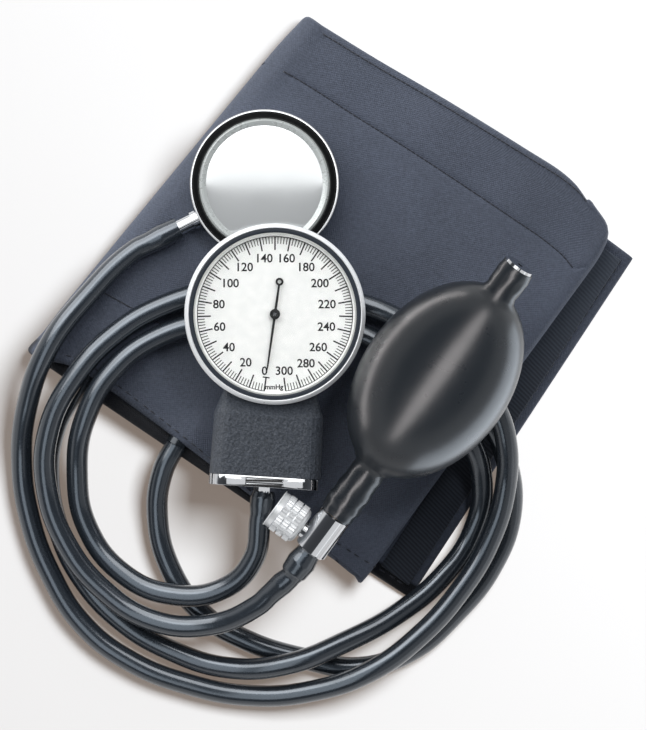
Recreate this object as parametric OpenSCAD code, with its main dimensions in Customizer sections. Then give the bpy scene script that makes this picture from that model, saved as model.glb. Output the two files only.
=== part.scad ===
// Aneroid sphygmomanometer: folded cuff, dial gauge with its movement, bulb with air valve,
// stethoscope chestpiece and three rubber hoses, laid out as they lie on a table. Millimetres.

/* [Cuff] */
// Width of the cuff ribbon
cuff_w = 137; // [125:1:150]
// Length of the folded cuff, outer fold to outer fold
cuff_l = 131.4; // [120:0.2:145]
// Thickness of a plain layer, two plies of nylon
layer_t = 2.8; // [2.5:0.1:3.2]
// Thickness of the top layer, which is the bladder pocket
pocket_t = 4.6; // [4.4:0.1:5.4]
// Air left between two layers
layer_gap = 0.3; // [0.2:0.05:0.5]
// Length of the closure end that shows past the fold
end_out = 12.3; // [8:0.1:18]
// Slant of the left fold, in degrees
fold_skew = 3.4; // [0:0.2:6]
// Slant of the closure end, in degrees
end_skew = 2.7; // [0:0.1:5]
// Distance that the closure end lies in from the lower edge
end_lift = 6; // [0:0.5:10]
// Radius of the soft corner of the top layer
soft_corner_r = 16; // [5:1:30]
// How much further the upper layers reach at the right end of their top edge
top_flare = 10.6; // [0:0.2:14]
// Radius of the other corners
sharp_corner_r = 3; // [1:0.5:5]
// Depth of the hem's bow in the top layer's lower edge
hem_bow = 3.2; // [0:0.1:5]
// Distance of the inner fold from the outer one
inner_fold_in = 8.2; // [7.5:0.1:14]
// Turn of the cuff on the table, in degrees
cuff_turn = -36.1; // [-50:0.1:-20]
// Width of the hook strip on the closure end
hook_w = 11; // [8:0.5:20]
// Thickness of the hook strip and of the loop panel
tape_t = 1; // [0.6:0.1:1.2]
// Hem left outside the hook strip
hem_w = 3; // [2:0.5:5]
// Length of the loop panel
loop_l = 76; // [50:1:90]

/* [Bladder] */
// Width of the rubber bladder
bladder_w = 104; // [90:1:112]
// Thickness of the empty bladder
bladder_t = 1.4; // [1:0.1:1.6]
// Length of the bladder in the top layer
bladder_top_l = 112; // [95:1:116]
// Length of the bladder in the layer under it
bladder_under_l = 97; // [60:1:104]
// Ease between the bladder and its pocket
bladder_ease = 0.1; // [0.05:0.05:0.2]
// Distance of the bladder's middle from the cuff's middle, towards the hoses
bladder_shift = 8; // [0:0.5:10]
// Distance of the nearer hose neck from the bladder's closed end
neck_end_in = 3.75; // [3.75:0.25:12]
// Distance between the two hose necks
neck_pitch = 37.4; // [20:0.2:60]
// Depth of the neck's end inside the lower edge
neck_sink = 1.6; // [1:0.1:3]
// Turn of the necks from square, in degrees
neck_turn = 7; // [0:1:12]

/* [Hoses] */
// Outer diameter of every hose
hose_d = 7; // [6.4:0.1:7.1]
// Number of sides of a hose
hose_sides = 10; // [8:1:12]
// Diameter of a barbed nipple at its root
nipple_d = 4.6; // [4:0.1:5]
// Diameter over a barb
barb_d = 5.4; // [5:0.1:5.8]
// Length of a nipple inside its hose
nipple_l = 8; // [6:0.5:9]
// Bore of a nipple
nipple_bore = 2.2; // [1.6:0.1:2.6]

/* [Chestpiece] */
// Diameter of the chestpiece
chest_d = 47.6; // [42:0.2:50]
// Height of the chestpiece
chest_h = 9; // [7.5:0.1:9.5]
// Width of the metal rim
chest_rim = 0.6; // [0.4:0.1:1]
// Outer diameter of the snap ring that holds the diaphragm
snap_ring_d = 41.8; // [38:0.2:42.4]
// Visible diameter of the diaphragm
diaphragm_d = 37.4; // [33:0.2:38.4]
// Thickness of the diaphragm
diaphragm_t = 0.4; // [0.3:0.1:0.6]
// Diameter of the stem
stem_d = 5; // [4.6:0.1:5.6]
// Diameter of the stem's collar against the body
stem_collar_d = 6.2; // [5.6:0.1:6.6]
// Length of the stem's collar outside the rim
stem_collar_l = 1.8; // [1:0.1:3]
// Length of bare stem between the rim and the hose
stem_bare = 7; // [4:0.5:10]

/* [Gauge case] */
// Outer diameter of the bezel
bezel_d = 57.6; // [56:0.2:60]
// Width of the bright rim of the bezel
bezel_rim = 0.7; // [0.5:0.1:1]
// Diameter of the case under the bezel
case_d = 54.8; // [54:0.2:55.2]
// Wall of the case
case_wall = 1.4; // [1.2:0.1:1.6]
// Height of the round head from its back to the bezel's top
head_h = 18; // [17:0.5:20]
// Width of the bellows box at its open end
box_w = 35.5; // [33:0.5:38]
// Width of the bellows box at the neck
box_neck_w = 34.8; // [31:0.1:36]
// Height of the bellows box
box_h = 22; // [21.5:0.1:24]
// Distance from the dial's centre to the ridge of the box
ridge_y = 32.2; // [31.6:0.1:34]
// Distance from the dial's centre to the open end of the box
box_y = 51.7; // [50:0.1:54]
// Corner radius of the box
box_r = 5; // [3:0.5:6]
// Thickness of the end plate
plate_t = 3.5; // [3:0.1:4.5]
// Turn of the case, in degrees
gauge_turn = -3.6; // [-10:0.1:10]

/* [Dial and crystal] */
// Thickness of the dial
dial_t = 0.4; // [0.3:0.1:0.6]
// Inner diameter of the bright ring on the dial
ring_id = 49.6; // [48:0.2:50]
// Inner diameter of the black gasket
gasket_id = 51.8; // [51:0.2:52.4]
// Thickness of the crystal
crystal_t = 1.6; // [1.2:0.1:2]
// Distance from the centre to the pointer's tip
pointer_tip = 18.8; // [15:0.1:21]
// Distance from the centre to the ring on the tail
pointer_tail = 10.4; // [7:0.1:13]
// Width of the pointer at its hub
pointer_w = 0.85; // [0.6:0.05:1.2]
// Sweep of the pointer from 0 to 300, in degrees
dial_sweep = 344; // [300:1:344]

/* [Movement] */
// Gear module
gear_m = 0.25; // [0.24:0.01:0.26]
// Teeth of the pinion
pinion_z = 10; // [10:1:10]
// Teeth of the full circle that the sector is cut from
sector_z = 90; // [90:1:90]
// Backlash on the pitch circle
backlash = 0.06; // [0.04:0.01:0.1]
// Length of the lever arm
lever_r = 4; // [3.5:0.1:4.5]
// Diameter of the sector's arbor
arbor_d = 1.5; // [1.2:0.1:1.8]
// Diameter of the pointer's arbor
pinion_arbor_d = 1.2; // [1:0.1:1.3]
// Radial play of an arbor in its hole
play = 0.05; // [0.02:0.01:0.08]
// Thickness of a movement plate
mplate_t = 0.8; // [0.6:0.1:0.9]
// Drop of the hose port under the bellows' axis
port_drop = 3.4; // [2.6:0.1:3.6]
// Diameter of the port's shank in the end plate
shank_d = 4; // [3.6:0.1:4.4]
// Length of the port's hexagonal collar
collar_l = 1.4; // [1:0.1:2]
// Diameter of the bellows
bellows_d = 15.2; // [13:0.2:15.6]
// Number of folds in the bellows
bellows_n = 6; // [4:1:7]
// Diameter of the push rod
rod_d = 1.4; // [1.2:0.1:1.6]

/* [Bulb] */
// Diameter of the bulb
bulb_d = 47.4; // [44:0.2:48]
// Half the length of the bulb's body
bulb_a = 35.2; // [33:0.1:37]
// Wall of the bulb
bulb_wall = 2.4; // [2:0.1:3]
// Distance from the valve's middle to the bulb's middle
bulb_s = 61.8; // [60:0.1:64]
// Distance from the valve's middle to the bulb's tip
tip_s = 107; // [104:0.2:110]
// Diameter of the tip neck
tip_neck_d = 10.6; // [10:0.1:11.4]
// Diameter of the valve neck
valve_neck_d = 11.2; // [10.8:0.1:12]
// Diameter of the plugs pressed into the necks
plug_d = 8; // [7.4:0.1:8.4]
// Tilt of the bulb and valve, in degrees
bulb_tilt = 12.9; // [12.5:0.1:13.5]
// Turn of the bulb and valve on the table, in degrees
bulb_turn = 53.8; // [52:0.1:55]

/* [Air valve] */
// Diameter of the valve body
valve_d = 10.9; // [10.4:0.1:11.2]
// Length of the valve body
valve_l = 14.5; // [13:0.1:15]
// Diameter of the knob
knob_d = 13.2; // [12:0.1:13.6]
// Length of the knob
knob_l = 11; // [10:0.1:11.4]
// Distance from the valve's axis to the knob
knob_y = 6.2; // [6:0.1:6.4]
// Distance of the knob's axis from the valve's middle
knob_s = -2.8; // [-3:0.1:-2]
// Number of knurls on the knob
knurls = 36; // [24:2:40]
// Diameter of the needle's threaded part
needle_d = 3.4; // [3:0.1:3.6]
// Diameter of a check ball
ball_d = 3; // [2.6:0.1:3.2]
// Lift of a check ball
ball_lift = 0.9; // [0.5:0.1:1]

/* [Layout] */
// Chestpiece centre
chest_pos = [-21.8, 39.4];
// Dial centre
gauge_pos = [-18.3, -2.4];
// Middle of the air valve
valve_pos = [-3, -71.9];
// Height of the air valve's middle over the cuff
valve_up = 18.2; // [18:0.1:18.8]

/* [Hidden] */
$fn = 96;
eps = 0.01;
seat = 0.3;

// Heights of the cuff's layers
layer2_z = layer_t + layer_gap;
layer3_z = layer2_z + layer_t + layer_gap;
pocket_z = layer3_z + layer_t + layer_gap;
cuff_top = pocket_z + pocket_t;
big_fold_r = cuff_top / 2;
side_fold_r = (cuff_top - layer3_z) / 2;
small_fold_r = (layer3_z + layer_t - layer2_z) / 2;

// The cuff's corners, its plan turned on the table and centred under the part
left_u = -cuff_l / 2;
left_top_u = left_u + cuff_w * tan(fold_skew);
end_low = [cuff_l / 2 + end_out + cuff_w / 2 * tan(end_skew), -cuff_w / 2 + end_lift];
end_high = [cuff_l / 2 + end_out - cuff_w / 2 * tan(end_skew), cuff_w / 2];
function turned(p, a) = [p.x * cos(a) - p.y * sin(a), p.x * sin(a) + p.y * cos(a)];
cuff_shift = [
    -(turned([left_u, -cuff_w / 2], cuff_turn).x + turned(end_high, cuff_turn).x) / 2,
    -(turned([left_top_u, cuff_w / 2], cuff_turn).y + turned(end_low, cuff_turn).y) / 2];

// Bladder and hose necks
bladder_top_z = pocket_z + pocket_t / 2;
bladder_under_z = layer3_z + layer_t / 2;
bladder_edge = (cuff_w - bladder_w) / 2 - bladder_shift;
neck_z = cuff_top - 0.7 - hose_d / 2;
neck_clear = 0.2;
fold_u = cuff_l / 2 - side_fold_r;
neck_b_u = fold_u - bladder_top_l + neck_end_in;
neck_a_u = neck_b_u + neck_pitch;
tuck = 0.02;
lap = 0.5;

// Heights in the gauge
head_z = cuff_top + chest_h + seat;
floor_z = head_z + case_wall;
rod_up = 3.1;
lever_up = 4;
low_plate_up = 4.8;
tooth_up = 7.2;
sector_up = 7.7;
spring_up = 9.15;
top_plate_up = 10;
dial_sink = 6;
dial_gap = 2.4;
rod_z = head_z + rod_up;
port_z = rod_z - port_drop;
lever_z = head_z + lever_up;
low_plate_z = head_z + low_plate_up;
tooth_z = head_z + tooth_up;
sector_zpos = head_z + sector_up;
spring_z = head_z + spring_up;
top_plate_z = head_z + top_plate_up;
dial_z = head_z + head_h - dial_sink;
crystal_z = dial_z + dial_t + dial_gap;
lip_z = crystal_z + crystal_t;
bezel_top = head_z + head_h;
case_r = case_d / 2;
dial_r = case_r - case_wall - 0.1;
box_top = cuff_top + box_h;

// Gears: pitch circles, centre distance and the swing of the sector
pinion_r = gear_m * pinion_z / 2;
sector_r = gear_m * sector_z / 2;
centre_d = pinion_r + sector_r;
pressure = 25;
ratio = sector_z / pinion_z;
swing = dial_sweep / ratio;
arbor_x = -lever_r;
arbor_y = -sqrt(centre_d * centre_d - arbor_x * arbor_x);
mesh_a = atan2(-arbor_y, -arbor_x);
sector_teeth = 13;
pointer_a = 90 + dial_sweep / 2 - gauge_turn;

// Bellows and push rod, along the gauge's own y
base_y = -box_y + 1.5;
bellows_y0 = base_y + 1;
bellows_y1 = -37.4;
pin_d = 0.8;
mplate_left = 13;
mplate_right = 12;
mplate_back = 19;
mplate_front = 7;
mplate_waist_back = 7;
mplate_waist_d = 12;
rod_tip_y = arbor_y - lever_r * sin(swing / 2) - pin_d / 2 - 0.02;

// Bulb and valve
bulb_b = bulb_d / 2;
valve_z = cuff_top + valve_up;
neck_end_s = valve_l / 2 + 0.2;
seat_s = 13;
inlet_seat_s = tip_s - 2.7;
seat_bore_r = 0.9;
ball_back = sqrt(ball_d * ball_d / 4 - seat_bore_r * seat_bore_r) + 0.02;

// Directions in which the hoses leave their fittings
stem_a = 207;
stem_z = cuff_top + hose_d / 2;

// Routes of the hoses, from fitting to fitting, chosen by hand
tube_route = [
    [-49.2, 25.4, 17.4], [-63, 18.4, 17.5], [-78.5, 3.5, 17.6], [-91, -13, 18.4], [-98, -31.5, 12.2],
    [-100, -50, 5.2], [-97.5, -68, 3.7], [-91, -85.5, 3.6], [-80.5, -102, 3.6], [-65, -114, 3.6],
    [-46, -121.5, 3.7], [-26.5, -125, 4.4], [-7, -123.5, 7.5], [12, -117, 11.3], [28, -105.5, 11.3],
    [41, -91, 11.2], [50.5, -75, 11.6], [55.5, -57.5, 15.3], [55.3, -41.5, 21.5], [50.5, -27, 24],
    [47.5, -13, 20.5]];
bulb_route = [
    [-7.2, -77.7, 30.4], [-13.2, -85.8, 28.1], [-24, -95.5, 22], [-40, -102, 14.5], [-58, -100.5, 11.2],
    [-74, -90.5, 10.4], [-85.5, -76, 11.2], [-91.8, -58, 12], [-91, -39.5, 16], [-83, -23, 18],
    [-69.5, -8.5, 17.8], [-53, 1, 17.5], [-34, 5.7, 17.5], [-14, 6, 17.5], [5, 2.2, 17.5],
    [22.5, -4.7, 17.5], [38, -17, 17.5], [47, -31, 18.2], [55.5, -48, 10.6], [57.5, -66.5, 4.2],
    [51, -84, 3.6], [39.5, -98.5, 3.6], [25.5, -110.5, 3.6], [8.5, -116, 3.6], [-9.5, -113, 3.6],
    [-27, -107.5, 3.6], [-42, -98.5, 3.6], [-52.5, -83.5, 3.8], [-56.4, -66.5, 5.2], [-54.5, -52.6, 8.9],
    [-50.3, -44.2, 9.7]];
gauge_route = [
    [-21.9, -58.9, 22.9], [-22.5, -68.5, 21.9], [-25, -80.5, 18.4], [-34.5, -90, 14.4], [-51.5, -92.3, 11.2],
    [-67.5, -85.5, 8.6], [-79, -70.5, 7], [-82, -53.5, 10], [-79, -35, 16.8], [-69.5, -19.5, 18],
    [-54.5, -9, 17.5], [-37, -4.5, 17.5], [-18, -4, 17.5], [0.5, -6, 17.5], [17.5, -13, 17.5],
    [31, -24.5, 17.5], [42, -39, 18.2], [48, -55, 10.5], [45.5, -71.5, 4.4], [35.5, -86.5, 5.6],
    [21, -98.5, 7.3], [4, -107.5, 10.8], [-14, -114.5, 10.8], [-33.5, -116, 5.8], [-52, -110.5, 3.6],
    [-68, -101, 3.6], [-80.5, -87.5, 3.6], [-88, -72, 3.7], [-91.3, -55, 4.6], [-89.2, -39, 8.2],
    [-83.5, -27.6, 9.6], [-80.6, -22.2, 9.7]];

// A hose: rings square to the route, joined by triangles
module hose(route) {
    n = len(route);
    function unit(v) = v / norm(v);
    function along(i) = unit(route[min(i + 1, n - 1)] - route[max(i - 1, 0)]);
    rings = [for (i = [0:n - 1])
        let (t = along(i), side = unit(cross(t, [0, 0, 1])), up = cross(side, t))
        for (k = [0:hose_sides - 1])
            let (a = 360 * (k + 0.5) / hose_sides)
            route[i] + hose_d / 2 * (cos(a) * side + sin(a) * up)];
    s = hose_sides;
    first = [for (k = [1:s - 2]) [0, k + 1, k]];
    last = [for (k = [1:s - 2]) [(n - 1) * s, (n - 1) * s + k, (n - 1) * s + k + 1]];
    walls = [for (i = [0:n - 2]) for (k = [0:s - 1])
        let (a = i * s + k, b = i * s + (k + 1) % s)
        each [[a, b, a + s], [b, b + s, a + s]]];
    polyhedron(points = rings, faces = concat(first, last, walls));
}

// Least gap between two stretches of hose, measured on points a few millimetres apart
function fine(route) = [for (i = [0:len(route) - 2]) for (k = [0:5])
    route[i] + (route[i + 1] - route[i]) * k / 6];
function near(p, q, apart) = min([for (i = [0:len(p) - 1])
    for (j = [apart > 0 ? i + apart : 0:1:len(q) - 1]) norm(p[i] - q[j])]) - hose_d;
module print_gaps() {
    a = fine(tube_route);
    b = fine(bulb_route);
    c = fine(gauge_route);
    echo("hose gaps", self = [near(a, a, 12), near(b, b, 12), near(c, c, 12)],
        others = [near(a, b, 0), near(a, c, 0), near(b, c, 0)]);
}
print_gaps();

// A barbed nipple of two barbs along +z
module nipple(l) {
    rotate_extrude() polygon([[0, 0], [nipple_d / 2, 0],
        each [for (k = [0:1]) each [
            [nipple_d / 2, l * (0.42 + 0.29 * k)], [barb_d / 2, l * (0.44 + 0.29 * k)],
            [nipple_d / 2 - 0.1, l * (0.68 + 0.29 * k)]]],
        [nipple_d / 2 - 0.3, l], [0, l]]);
}

// Points of a circular arc
function arc(c, r, a0, a1, n) = [for (i = [0:n]) let (a = a0 + (a1 - a0) * i / n) c + r * [cos(a), sin(a)]];

// The cuff's own frame: u along the ribbon, v across it
module on_cuff() {
    translate([cuff_shift.x, cuff_shift.y, 0]) rotate([0, 0, cuff_turn]) children();
}

// Plan of the upper layers, with one soft corner
module upper_plan() {
    r = soft_corner_r;
    s = sharp_corner_r;
    low = -cuff_w / 2;
    top = cuff_w / 2;
    rise = atan(top_flare / (cuff_l / 2 - left_top_u));
    polygon(concat(
        [[left_u, low]],
        arc([cuff_l / 2 - s, low + s], s, -90, 0, 4),
        arc([cuff_l / 2 - r, top + top_flare - r * (1 / cos(rise) + tan(rise))], r, 0, 90 + rise, 10),
        [[left_top_u, top]]));
}

// A straight layer, from one fold line to the other, its lower edge bowed in where the hoses leave
module layer(z, t, u0, u1, bow = 0) {
    lean = cuff_w * tan(fold_skew);
    low = -cuff_w / 2;
    long = cuff_w / 2 + top_flare;
    a = u0 - lap / 2;
    b = u1 + lap / 2;
    edge = bow > 0 ? [[u0 + 14, low + bow], [neck_a_u, low + bow], [u1 - 12, low + bow * 0.6]] : [];
    translate([0, 0, z]) linear_extrude(t)
        polygon(concat([[a, low]], edge, [[b, low], [b, long], [a + lean * (long - low) / cuff_w, long]]));
}

// A half tube that opens towards +u, which turns one layer into the next
module left_fold(r, wall, z, u) {
    over = 4;
    long = cuff_w + top_flare + 2 * over;
    translate([u, -cuff_w / 2, z]) rotate([0, 0, -fold_skew]) translate([r, -over, 0])
        rotate([-90, 0, 0]) difference() {
            cylinder(r = r - tuck, h = long);
            translate([0, 0, -1]) cylinder(r = max(r - wall, layer_gap / 2) - tuck, h = long + 2);
            translate([lap, -2 * r, -1]) cube([2 * r, 4 * r, long + 2]);
        }
}

module right_fold() {
    r = side_fold_r;
    translate([fold_u, -cuff_w / 2, layer3_z + r]) rotate([-90, 0, 0])
        intersection() {
            cylinder(r = r - tuck, h = cuff_w + top_flare);
            translate([-lap, -r, 0]) cube([2 * r, 2 * r, cuff_w + top_flare]);
        }
}

// The bladder runs in the top layer, round the right fold and back in the layer under it
module bladder_form(ease) {
    t = bladder_t + 2 * ease;
    w = bladder_w + 2 * ease;
    v0 = -bladder_shift - w / 2;
    r_mid = (bladder_top_z - bladder_under_z) / 2;
    mid_z = (bladder_top_z + bladder_under_z) / 2;
    translate([fold_u - bladder_top_l - ease, v0, bladder_top_z - t / 2])
        cube([bladder_top_l + ease + eps, w, t]);
    translate([fold_u - bladder_under_l - ease, v0, bladder_under_z - t / 2])
        cube([bladder_under_l + ease + eps, w, t]);
    translate([fold_u, v0, mid_z]) rotate([-90, 0, 0]) difference() {
        cylinder(r = r_mid + t / 2, h = w);
        translate([0, 0, -1]) cylinder(r = r_mid - t / 2, h = w + 2);
        translate([-2 * r_mid - t, -2 * r_mid, -1]) cube([2 * r_mid + t, 4 * r_mid, w + 2]);
    }
}

// Places a round neck so that its outer end lies just inside the lower edge
module at_necks() {
    for (u = [neck_a_u, neck_b_u])
        translate([u, -cuff_w / 2 + neck_sink, neck_z]) rotate([0, 0, neck_turn])
            rotate([-90, 0, 0]) children();
}

module cuff() {
    neck_l = bladder_edge + 2;
    recess = tape_t - layer_gap / 2;
    color("#4d5363") on_cuff() difference() {
        union() {
            linear_extrude(layer_t) polygon([
                [left_u + big_fold_r - lap / 2, -cuff_w / 2], end_low, end_high,
                [left_top_u + big_fold_r - lap / 2, cuff_w / 2]]);
            intersection() {
                union() {
                    left_fold(big_fold_r, layer_t, big_fold_r, left_u);
                    layer(pocket_z, pocket_t, left_u + big_fold_r, fold_u, hem_bow);
                    right_fold();
                    layer(layer3_z, layer_t, left_u + inner_fold_in + small_fold_r, fold_u);
                    left_fold(small_fold_r, layer_t, layer2_z + small_fold_r, left_u + inner_fold_in);
                    layer(layer2_z, layer_t, left_u + inner_fold_in + small_fold_r, fold_u - 12);
                }
                translate([0, 0, -1]) linear_extrude(cuff_top + 2) upper_plan();
            }
        }
        bladder_form(bladder_ease);
        at_necks() translate([0, 0, -3 * hose_d])
            cylinder(d = hose_d + 2 * neck_clear, h = 3 * hose_d + neck_l);
        translate([fold_u - 18 - loop_l, -bladder_w / 2, layer3_z - layer_gap - recess])
            cube([loop_l, bladder_w, recess + eps]);
    }
}

module bladder() {
    color("#1c1d20") on_cuff() {
        bladder_form(0);
        at_necks() cylinder(d = hose_d, h = bladder_edge + 1);
    }
}

module hook_strip() {
    color("#3a3e4a") on_cuff() translate([0, 0, layer_t]) linear_extrude(tape_t)
        polygon([end_low - [hem_w, -hem_w], end_high - [hem_w, hem_w],
            end_high - [hem_w + hook_w, hem_w], end_low - [hem_w + hook_w, -hem_w]]);
}

module loop_panel() {
    color("#33363f") on_cuff()
        translate([fold_u - 18 - loop_l + bladder_ease, -bladder_w / 2 + bladder_ease,
                layer3_z - layer_gap / 2 - tape_t])
            cube([loop_l - 2 * bladder_ease, bladder_w - 2 * bladder_ease, tape_t]);
}

// The chestpiece's frame: its centre on the cuff's top
module on_chest() {
    translate([chest_pos.x, chest_pos.y, cuff_top]) children();
}

module along_stem(r) {
    translate([0, 0, stem_z - cuff_top]) rotate([0, 0, stem_a]) translate([r, 0, 0])
        rotate([0, 90, 0]) children();
}

module chestpiece_body() {
    r = chest_d / 2;
    ring_r = r - chest_rim;
    floor_h = chest_h - 2.6;
    color("#c9ccd0") on_chest() difference() {
        rotate_extrude() polygon(concat(
            [[0, 0], [r - 4.5, 0]],
            arc([r - 3, 3], 3, -90, 0, 6),
            [[r, chest_h - 0.4], [r - 0.25, chest_h - 0.15], [ring_r, chest_h - 0.15], [ring_r, floor_h],
             [diaphragm_d / 2 - 1, floor_h], [6, floor_h - 1], [0, floor_h - 1]]));
        along_stem(0) cylinder(d = nipple_bore, h = r + 1);
        along_stem(r - 5) cylinder(d = stem_d, h = 8);
        translate([0, 0, stem_z - cuff_top - nipple_bore / 2 - 0.4])
            cylinder(d = nipple_bore + 0.8, h = chest_h);
    }
}

module non_chill_ring() {
    r = chest_d / 2 - chest_rim;
    z = chest_h - 2.6;
    color("#141518") on_chest() rotate_extrude()
        polygon([[snap_ring_d / 2, z], [r, z], [r, chest_h - 0.5], [r - 0.5, chest_h],
            [snap_ring_d / 2 + 0.4, chest_h], [snap_ring_d / 2, chest_h - 0.5]]);
}

module diaphragm_ring() {
    z = chest_h - 2.6;
    ro = snap_ring_d / 2;
    ri = diaphragm_d / 2;
    color("#d9dbdd") on_chest() rotate_extrude()
        polygon([[ri - 0.8, z], [ro, z], [ro, chest_h - 0.6], [ro - 0.7, chest_h - 0.1],
            [ri + 0.9, chest_h - 0.5], [ri, chest_h - 0.9], [ri, chest_h - 1.2], [ri + 0.4, chest_h - 1.2],
            [ri + 0.4, chest_h - 1.2 - diaphragm_t], [ri - 0.8, chest_h - 1.2 - diaphragm_t]]);
}

module diaphragm() {
    color("#e4e6e8") on_chest() translate([0, 0, chest_h - 1.2 - diaphragm_t])
        cylinder(d = diaphragm_d + 0.8, h = diaphragm_t);
}

module chestpiece_stem() {
    r = chest_d / 2;
    color("#d5d8db") on_chest() difference() {
        union() {
            along_stem(r - 5) cylinder(d = stem_d, h = 5 + stem_bare);
            along_stem(r + seat) cylinder(d = stem_collar_d, h = stem_collar_l);
            along_stem(r + stem_bare) nipple(nipple_l);
        }
        along_stem(r - 6) cylinder(d = nipple_bore, h = 8 + stem_bare + nipple_l);
    }
}

// The gauge's frame: dial centre, turned with the case
module on_gauge() {
    translate([gauge_pos.x, gauge_pos.y, 0]) rotate([0, 0, gauge_turn]) children();
}

// A thin upright slab with rounded corners, the section of the box at y
module slab(w, z0, z1, y, r) {
    x = w / 2 - r;
    translate([0, y, 0]) rotate([90, 0, 0]) linear_extrude(eps) polygon(concat(
        arc([x, z0 + r], r, -90, 0, 5), arc([x, z1 - r], r, 0, 90, 5),
        arc([-x, z1 - r], r, 90, 180, 5), arc([-x, z0 + r], r, 180, 270, 5)));
}

module case_shell(inset) {
    bottom = cuff_top + inset;
    top = box_top - inset;
    neck_top = head_z + 7.3 - inset;
    hull() {
        slab(box_w - 2 * inset, bottom, top, -box_y + (inset > 0 ? -eps : eps), box_r - inset / 2);
        slab(box_neck_w - 2 * inset, bottom, top, -ridge_y - 0.7 * inset, box_r - inset / 2);
    }
    hull() {
        slab(box_neck_w - 2 * inset, bottom, top, -ridge_y - 0.7 * inset, box_r - inset / 2);
        slab(box_neck_w - 5 - 2 * inset, head_z + inset, neck_top, -25 + 2 * inset, 2);
    }
    hull() {
        slab(box_neck_w - 5 - 2 * inset, head_z + inset, neck_top, -25 + 2 * inset, 2);
        slab(box_neck_w - 5 - 2 * inset, head_z + inset, neck_top, -20, 2);
    }
}

post_at = [[-10.5, 4.5], [9.5, 4.5], [-10.5, -16.5], [9.5, -16.5]];

module gauge_case() {
    r = case_r;
    in_r = r - 2 * case_wall;
    color("#26282d") on_gauge() difference() {
        union() {
            difference() {
                union() {
                    rotate_extrude() polygon(concat([[0, head_z], [r - 6, head_z]],
                        arc([r - 5, head_z + 5], 5, -90, 0, 8), [[r, crystal_z], [0, crystal_z]]));
                    case_shell(0);
                }
                rotate_extrude() polygon(concat([[0, floor_z], [in_r - 4, floor_z]],
                    arc([in_r - 4, floor_z + 4], 4, -90, 0, 6),
                    [[in_r, dial_z], [dial_r + 0.1, dial_z],
                     [dial_r + 0.1, crystal_z + 1], [0, crystal_z + 1]]));
                case_shell(case_wall);
            }
            for (p = post_at) translate([p.x, p.y, floor_z - eps])
                cylinder(d = 5, h = low_plate_z - floor_z + eps);
        }
        for (p = post_at) translate([p.x, p.y, floor_z + 0.6]) cylinder(d = 2.1, h = low_plate_z);
    }
}

module end_plate() {
    lip = case_wall + 0.1;
    color("#d8dadd") on_gauge() difference() {
        union() {
            hull() {
                slab(box_w, cuff_top, box_top, -box_y - plate_t + eps, 6);
                slab(box_w, cuff_top, box_top, -box_y, 6);
            }
            hull() {
                slab(box_w - 2 * lip, cuff_top + lip, box_top - lip, -box_y, box_r - 1);
                slab(box_w - 2 * lip - 0.2, cuff_top + lip, box_top - lip, base_y, box_r - 1);
            }
        }
        at_port(1, port_z) cylinder(d = shank_d, h = box_y + plate_t + 2);
        for (k = [-1, 1]) translate([-5.9, -box_y - plate_t / 2 - 0.4 + 0.75 * k, box_top - 0.6])
            cube([11.8, 0.8, 2]);
    }
}

// Frame along -y, on the bellows' axis unless a height is given
module at_port(y, z = rod_z) {
    translate([0, y, z]) rotate([90, 0, 0]) children();
}

module gauge_nipple() {
    face = box_y + plate_t;
    color("#cfd2d6") on_gauge() difference() {
        union() {
            at_port(bellows_y0, port_z) cylinder(d = shank_d, h = face + bellows_y0 + eps);
            at_port(-face, port_z) cylinder(d = hose_d, h = collar_l, $fn = 6);
            at_port(-face - collar_l, port_z) nipple(nipple_l);
        }
        at_port(base_y + 2, port_z) cylinder(d = nipple_bore, h = face + nipple_l);
    }
}

module bezel() {
    ro = bezel_d / 2;
    skirt = case_r + 0.05;
    lip_r = gasket_id / 2 + 0.6;
    color("#d4d7da") on_gauge() rotate_extrude()
        polygon([[skirt, dial_z - 1], [ro - 0.4, dial_z - 1], [ro, dial_z - 0.4], [ro, bezel_top - 0.35],
            [ro - 0.35, bezel_top], [ro - bezel_rim, bezel_top - 0.1], [ro - bezel_rim, lip_z + 0.6],
            [lip_r, lip_z + 0.6], [lip_r, lip_z], [skirt, lip_z]]);
}

module bezel_gasket() {
    ro = bezel_d / 2 - bezel_rim;
    ri = gasket_id / 2;
    color("#15161a") on_gauge() rotate_extrude()
        polygon([[ri, lip_z], [ri + 0.6, lip_z], [ri + 0.6, lip_z + 0.6], [ro, lip_z + 0.6],
            [ro, bezel_top - 0.5], [ro - 0.6, bezel_top - 0.25], [ri + 0.4, bezel_top - 0.7],
            [ri, bezel_top - 1.1]]);
}

module crystal() {
    color("#dfe8ee", 0.35) on_gauge() translate([0, 0, crystal_z])
        cylinder(r = case_r - 0.05, h = crystal_t);
}

module dial_ring() {
    color("#eceded") on_gauge() rotate_extrude()
        polygon([[ring_id / 2, dial_z + dial_t], [dial_r, dial_z + dial_t], [dial_r, crystal_z],
            [ring_id / 2 + 0.6, crystal_z], [ring_id / 2, crystal_z - 0.8]]);
}

module dial() {
    color("#f6f6f4") on_gauge() translate([0, 0, dial_z]) difference() {
        cylinder(r = dial_r, h = dial_t);
        translate([0, 0, -1]) cylinder(r = 1.4, h = 3);
    }
}

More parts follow.
